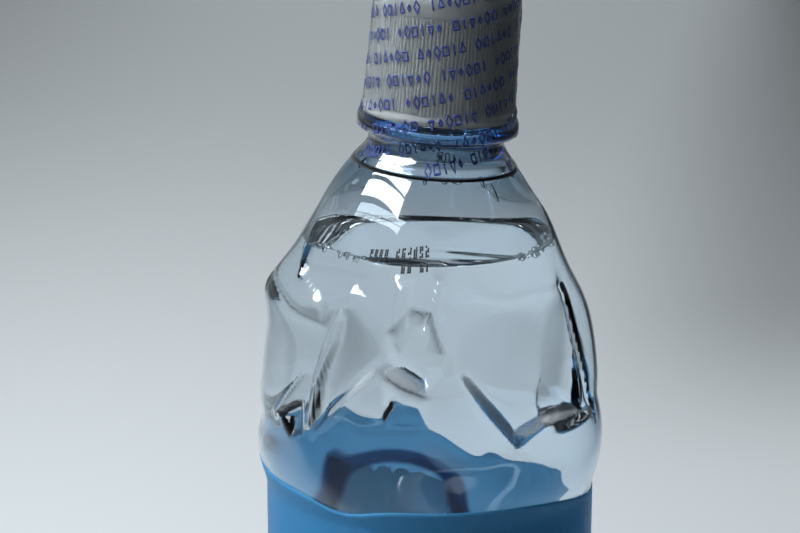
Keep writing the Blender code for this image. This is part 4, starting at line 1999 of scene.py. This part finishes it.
@dataclass
class FilmPrint:
    """Rows of small plain shapes printed on the film, every second row upside down."""

    seal: ShrinkSeal
    columns: int = 58
    rows: int = 18
    group: int = 7
    row_step: float = 4.8
    slope: float = 0.235
    mark_width: float = 1.25
    mark_height: float = 2.5
    stroke: float = 0.2
    girth_radius: float = 15.5
    middle_row: float = 184.5
    low: float = 207.9
    high: float = 249.0
    lift: float = 0.03
    flatness: float = 0.06

    def build(self, ink: Material) -> Object:
        """Makes the print.

        Args:
            ink: The finish.

        Returns:
            The finished piece.
        """
        girth = 2 * math.pi * self.girth_radius
        shape = NodeShape(
            "film_print",
            {
                "Columns": self.columns,
                "Rows": self.rows,
                "Group": self.group,
                "Column Step": girth / self.columns,
                "Row Step": self.row_step,
                "Slope": self.slope,
                "Low": self.low,
                "High": self.high,
            },
        )
        given = shape.given
        count = shape.add(MATH, {0: given["Columns"], 1: given["Rows"]}, operation="MULTIPLY")
        points = shape.add("GeometryNodePoints", {"Count": count})
        index = shape.add("GeometryNodeInputIndex")
        column = shape.add(MATH, {0: index, 1: given["Columns"]}, operation="MODULO")
        filled = shape.add(MATH, {0: index, 1: given["Columns"]}, operation="DIVIDE")
        row = shape.add(MATH, {0: filled}, operation="FLOOR")
        along = shape.add(MATH, {0: column, 1: given["Column Step"], 2: -girth / 2}, operation="MULTIPLY_ADD")
        base = shape.add(MATH, {0: row, 1: given["Row Step"], 2: self.middle_row}, operation="MULTIPLY_ADD")
        level = shape.add(MATH, {0: along, 1: given["Slope"], 2: base}, operation="MULTIPLY_ADD")
        place = shape.add("ShaderNodeCombineXYZ", {"X": along, "Z": level})
        laid = shape.add("GeometryNodeSetPosition", {"Geometry": points, "Position": place})
        shapes, marks = shape.add("GeometryNodeGeometryToInstance"), self.marks()
        for mark in marks:
            shape.tree.links.new(mark.draw(shape).outputs[0], shapes.inputs[0])
        thrice = shape.add(MATH, {0: column, 1: 3.0}, operation="MULTIPLY")
        mixed = shape.add(MATH, {0: row, 1: 2.0, 2: thrice}, operation="MULTIPLY_ADD")
        kind = shape.add(MATH, {0: mixed, 1: float(len(marks))}, operation="MODULO")
        odd = shape.add(MATH, {0: row, 1: 2.0}, operation="MODULO")
        upside = shape.add(MATH, {0: odd, 1: math.pi}, operation="MULTIPLY")
        climb = shape.add(MATH, {0: given["Slope"]}, operation="ARCTANGENT")
        tilt = shape.add(MATH, {0: climb, 1: -1.0, 2: upside}, operation="MULTIPLY_ADD")
        laid_marks = shape.add(
            "GeometryNodeInstanceOnPoints",
            {
                "Points": laid,
                "Selection": self.kept(shape, row, column, level),
                "Instance": shapes,
                "Pick Instance": True,
                "Instance Index": kind,
                "Rotation": shape.add("ShaderNodeCombineXYZ", {"Y": tilt}),
            },
        )
        return keep(reshaped(shape.finish(laid_marks, ink), self.on_film))

    def kept(self, shape: NodeShape, row: Node, column: Node, level: Node) -> Node:
        """Leaves a gap after each group of marks, and none over the film's edges.

        Args:
            shape: The tree.
            row: Gives a mark's row.
            column: Gives its column.
            level: Gives its level.

        Returns:
            The node that gives 1 where a mark is printed.
        """
        given = shape.given
        moved = shape.add(MATH, {0: row, 1: 3.0, 2: column}, operation="MULTIPLY_ADD")
        place = shape.add(MATH, {0: moved, 1: given["Group"]}, operation="MODULO")
        last = shape.add(MATH, {0: given["Group"], 1: 1.0}, operation="SUBTRACT")
        grouped = shape.add(MATH, {0: place, 1: last}, operation="LESS_THAN")
        over = shape.add(MATH, {0: level, 1: given["Low"]}, operation="GREATER_THAN")
        under = shape.add(MATH, {0: level, 1: given["High"]}, operation="LESS_THAN")
        inside = shape.add(MATH, {0: over, 1: under}, operation="MULTIPLY")
        return shape.add(MATH, {0: grouped, 1: inside}, operation="MULTIPLY")

    def marks(self) -> list[Mark]:
        """Lists the plain marks in the order in which they are picked.

        Returns:
            A diamond, a triangle, a square, a solid diamond and a solid bar.
        """
        wide, high = self.mark_width / 2, self.mark_height / 2
        half = 2 * self.stroke / (wide + high)
        return [
            Mark(4, 16, half, 0.0, (wide, high)),
            Mark(3, 15, half, 90.0, (wide, high)),
            Mark(4, 16, half, 45.0, (1.25 * wide, 0.95 * high)),
            Mark(4, 12, 0.5, 0.0, (0.5 * wide, 0.5 * high)),
            Mark(4, 12, 0.5, 45.0, (0.16, 0.8 * high)),
        ]

    def on_film(self, points: np.ndarray) -> np.ndarray:
        """Wraps the print round the film.

        Args:
            points: Points of the unrolled marks.

        Returns:
            The points on the film.
        """
        turn = points[:, 0] / self.girth_radius
        radius = self.seal.radius_at(np.degrees(turn), points[:, 2]) + self.seal.thickness + self.lift
        radius = radius + self.flatness * points[:, 1]
        around = np.stack([radius * np.sin(turn), -radius * np.cos(turn), points[:, 2]], axis=1)
        return self.seal.form.lean(around, whole=True)


# --------------------------------------------------------------------------------------
# Studio
# --------------------------------------------------------------------------------------
@dataclass(frozen=True)
class PaintedShadeBand:
    """A smooth painted shade that darkens the paper along a line over the floor, in metres.

    It grows from none where x * across + y * along is start to depth at end, and it comes
    in with y over the range beyond.
    """

    across: float
    along: float
    start: float
    end: float
    depth: float
    beyond: tuple[float, float] = (-9.0, -8.0)

    def share(self, tree: NodeTree, place: Node) -> Node:
        """Reckons the painted shade at each place.

        Args:
            tree: The finish's tree.
            place: The node that splits the place on the floor.

        Returns:
            The node that gives 1 where no shade is painted on the paper.
        """
        x = add_node(tree, MATH, {0: place.outputs["X"], 1: self.across}, operation="MULTIPLY")
        both = add_node(tree, MATH, {0: place.outputs["Y"], 1: self.along, 2: x}, operation="MULTIPLY_ADD")
        grown = add_node(
            tree,
            "ShaderNodeMapRange",
            {"Value": both, "From Min": self.start, "From Max": self.end, "To Max": self.depth},
            interpolation_type="SMOOTHSTEP",
        )
        near, far = self.beyond
        gate = add_node(
            tree,
            "ShaderNodeMapRange",
            {"Value": place.outputs["Y"], "From Min": near, "From Max": far, "To Max": -1.0},
            interpolation_type="SMOOTHSTEP",
        )
        return add_node(tree, MATH, {0: grown, 1: gate, 2: 1.0}, operation="MULTIPLY_ADD")


@dataclass(frozen=True)
class ShadePaintedPaper:
    """Matt paper, pale behind the bottle, with painted shade that greys it to the sides and the front."""

    pale: str = "#f5f9fb"
    # Each band paints shade on the paper: the darker floor to the sides and the front stands in for light
    # falling off and shadow.
    painted_shades: tuple[PaintedShadeBand, ...] = (
        PaintedShadeBand(1.0, -0.19, -0.05, 0.08, 0.42, (0.33, 0.6)),
        PaintedShadeBand(-1.0, 0.0, 0.06, 0.50, 0.32),
        PaintedShadeBand(0.0, -1.0, -0.03, 0.16, 0.8),
        PaintedShadeBand(1.0, -0.11, 0.12, 0.32, 0.85),
    )

    def material(self) -> Material:
        """Makes the finish, its painted shade reckoned from the place on the floor.

        Returns:
            The material.
        """
        material, tree, shader = new_material("matt_paper_painted_shade")
        where = add_node(tree, "ShaderNodeTexCoord")
        place = add_node(tree, "ShaderNodeSeparateXYZ", {0: where.outputs["Object"]})
        shade = add_node(tree, "ShaderNodeRGB")
        shade.outputs[0].default_value = linear(self.pale)
        # The painted shade of every band darkens the pale paper.
        for shade_band in self.painted_shades:
            share = shade_band.share(tree, place)
            shade = add_node(tree, "ShaderNodeVectorMath", {0: shade, "Scale": share}, operation="SCALE")
        tree.links.new(shade.outputs[0], shader.inputs["Base Color"])
        shader.inputs["Roughness"].default_value = 0.95
        shader.inputs["Specular IOR Level"].default_value = 0.1
        return material


@dataclass(frozen=True)
class Softbox:
    """A rectangular soft light that points at a place.

    Sizes and places are metres; azimuth is reckoned from the front towards the left.
    """

    name: str
    aim: tuple
    azimuth: float
    elevation: float
    distance: float
    size: tuple
    power: float
    spread: float = 180.0
    lift: float = 0.0
    roll: float = 0.0
    colour: str = "#f7fcff"

    def hang(self) -> None:
        """Hangs the light."""
        turn, rise = math.radians(self.azimuth), math.radians(self.elevation)
        back = Vector((-math.sin(turn) * math.cos(rise), -math.cos(turn) * math.cos(rise), math.sin(rise)))
        data = bpy.data.lights.new(self.name, "AREA")
        data.shape = "RECTANGLE"
        data.size, data.size_y = self.size
        data.energy = self.power
        data.color = linear(self.colour)[:3]
        data.spread = math.radians(self.spread)
        made = bpy.data.objects.new(self.name, data)
        bpy.context.scene.collection.objects.link(made)
        facing = (-back).to_track_quat("-Z", "Y") @ Quaternion((0, 0, 1), math.radians(self.roll))
        made.rotation_euler = facing.to_euler()
        above = facing @ Vector((0, 1, 0))
        made.location = Vector(self.aim) + back * self.distance + above * self.lift


@dataclass(frozen=True)
class Studio:
    """Paper with painted shade, a two-pane window at the left, a gridded light over the paper, the camera.

    Behind and before are the dim room's colours at the left and at the right.
    """

    elevation: float = 16.0
    lens: float = 100.0
    camera_at: tuple = (-6.4, -448.5, 312.4)
    floor_half: float = 3.0
    pane_height: float = 0.135
    pane_gap: float = 0.025
    pane_width: float = 0.9
    window_roll: float = 18.0
    window_azimuth: float = 76.0
    window_rise: float = 49.5
    window_away: float = 1.05
    pane_power: float = 8.0
    behind: tuple = ("#959ea0", "#656c6f")
    before: tuple = ("#7c8184", "#35383c")
    above: str = "#303438"
    paper: ShadePaintedPaper = ShadePaintedPaper()

    def camera(self) -> None:
        """Places the camera."""
        data = bpy.data.cameras.new("camera")
        data.lens = self.lens
        data.sensor_width = 36.0
        data.clip_start = 0.01
        made = bpy.data.objects.new("camera", data)
        bpy.context.scene.collection.objects.link(made)
        made.location = Vector(self.camera_at) * MM
        made.rotation_euler = (math.radians(90.0 - self.elevation), 0.0, 0.0)
        bpy.context.scene.camera = made

    def floor(self) -> None:
        """Lays the paper."""
        h = self.floor_half
        mesh = bpy.data.meshes.new("floor")
        mesh.from_pydata([(-h, -h, 0), (h, -h, 0), (h, h, 0), (-h, h, 0)], [], [(0, 1, 2, 3)])
        mesh.materials.append(self.paper.material())
        made = bpy.data.objects.new("floor", mesh)
        bpy.context.scene.collection.objects.link(made)

    def lights(self) -> None:
        """Hangs the window's two panes and the light over the paper."""
        step = (self.pane_height + self.pane_gap) / 2
        aim, size = (0.0, 0.0, 0.2), (self.pane_width, self.pane_height)
        facing = (self.window_azimuth, self.window_rise, self.window_away)
        for name, lift in (("upper_pane", step), ("lower_pane", -step)):
            Softbox(name, aim, *facing, size, self.pane_power, lift=lift, roll=self.window_roll).hang()
        Softbox("back_fill", (0.0, 0.0, 0.12), -150.0, 40.0, 0.9, (0.2, 0.2), 0.07, spread=20.0).hang()
        Softbox("paper_light", (-0.1, 1.9, 0.0), 0.0, 90.0, 1.4, (1.2, 1.5), 2.0, spread=85.0).hang()

    def surroundings(self) -> None:
        """The dim room: lighter low at the back left, dark above, in front and at the right."""
        world = bpy.data.worlds.new("room")
        bpy.context.scene.world = world
        world.use_nodes = True
        tree = world.node_tree
        tree.nodes.clear()
        where = add_node(tree, "ShaderNodeTexCoord")
        place = add_node(tree, "ShaderNodeSeparateXYZ", {0: where.outputs["Generated"]})
        rise = add_node(
            tree,
            "ShaderNodeMapRange",
            {"Value": place.outputs["Z"], "From Max": 0.5},
            interpolation_type="SMOOTHSTEP",
        )
        wide = {"From Min": -0.8, "From Max": 0.8}
        side = add_node(tree, "ShaderNodeMapRange", {"Value": place.outputs["X"], **wide})
        back = add_node(tree, "ShaderNodeMapRange", {"Value": place.outputs["Y"], **wide})
        rows = []
        for left, right in (self.before, self.behind):
            sides = {"Factor": side, 6: linear(left), 7: linear(right)}
            rows.append(add_node(tree, "ShaderNodeMix", sides, data_type="RGBA").outputs[2])
        low = add_node(
            tree, "ShaderNodeMix", {"Factor": back, 6: rows[0], 7: rows[1]}, data_type="RGBA"
        ).outputs[2]
        both = add_node(
            tree, "ShaderNodeMix", {"Factor": rise, 6: low, 7: linear(self.above)}, data_type="RGBA"
        ).outputs[2]
        sky = add_node(tree, "ShaderNodeBackground", {"Color": both})
        add_node(tree, "ShaderNodeOutputWorld", {"Surface": sky})

    def build(self) -> None:
        """Makes the whole studio."""
        self.camera()
        self.floor()
        self.lights()
        self.surroundings()
        bpy.context.scene.view_settings.view_transform = "Standard"


def main() -> None:
    """Builds every piece in order and reports it."""
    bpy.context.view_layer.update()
    Studio().build()
    form = BottleForm()
    Bottle(form).build(ClearPet().material())
    Water(form).build(StillWater().material())
    Label(form).build(
        PrintedLabel("printed_label_film", "#61bffd", "#34a6fb", "#89d2ff", 0.6).material(),
        # The face on the bottle is lighter than the print: partly the film's pale back, partly painted light
        # for light that doesn't reach into the water.
        PrintedLabel("label_film_back_painted_light", "#8fd0f5", "#8fd0f5", "#f4faff", 0.92).material(),
    )
    CloudedSkin(form).build(CrazedPet().material())
    shell = Plastic("moulded_polypropylene", "#e9edec", "#e2e6e6", Grain(2.0, 0.27, 0.41, 0.4, 0.01), 0.15)
    Closure(form).build(shell.material())
    soft = Plastic("soft_polyethylene", "#dfe3e3", "#d6dbdb", Grain(2.0, 0.36, 0.50, 0.5, 0.01), 0.3)
    Spout(form).build(soft.material())
    dark = Plastic("dark_blue_polypropylene", "#141d3a", "#10182f", Grain(2.0, 0.24, 0.38, 0.5, 0.008))
    DustCap(form).build(dark.material())
    seal = ShrinkSeal(form)
    film = ClearSkin("heat_shrunk_film", "#fcfdff", 1.5, Grain(1.5, 0.02, 0.1, 3.5, 0.05))
    seal.build(film.material())
    FilmPrint(seal).build(Ink("blue_film_ink", "#3f4f9e", "#4a5ba8").material())
    stamp = Ink("black_stamp_ink", "#0c0e12", "#1b1f26").material()
    DotMark(form, "stamp_upper_row", -29.0, 191.7, 0.1, 33, 12).build(stamp)
    DotMark(form, "stamp_lower_row", -12.8, 190.2, 0.08, 13, 6, rows=4, row_step=0.38, seed=9).build(stamp)
    trapped = ClearSkin("bubble_skin", "#feffff", 1.2, Grain(0.4, 0.0, 0.04, 0.5, 0.01)).material()
    Bubbles(form, "bubbles_right", 42.0, 90.0, 44, 0.35, 0.75, 11).build(trapped)
    Bubbles(form, "bubbles_left", -52.0, -33.0, 16, 0.3, 0.7, 23).build(trapped)
    Bubbles(form, "bubbles_far_left", -70.0, -63.0, 6, 0.4, 0.8, 37).build(trapped)
    Droplets(form).build(StillWater().material())


if __name__ == "__main__":
    main()
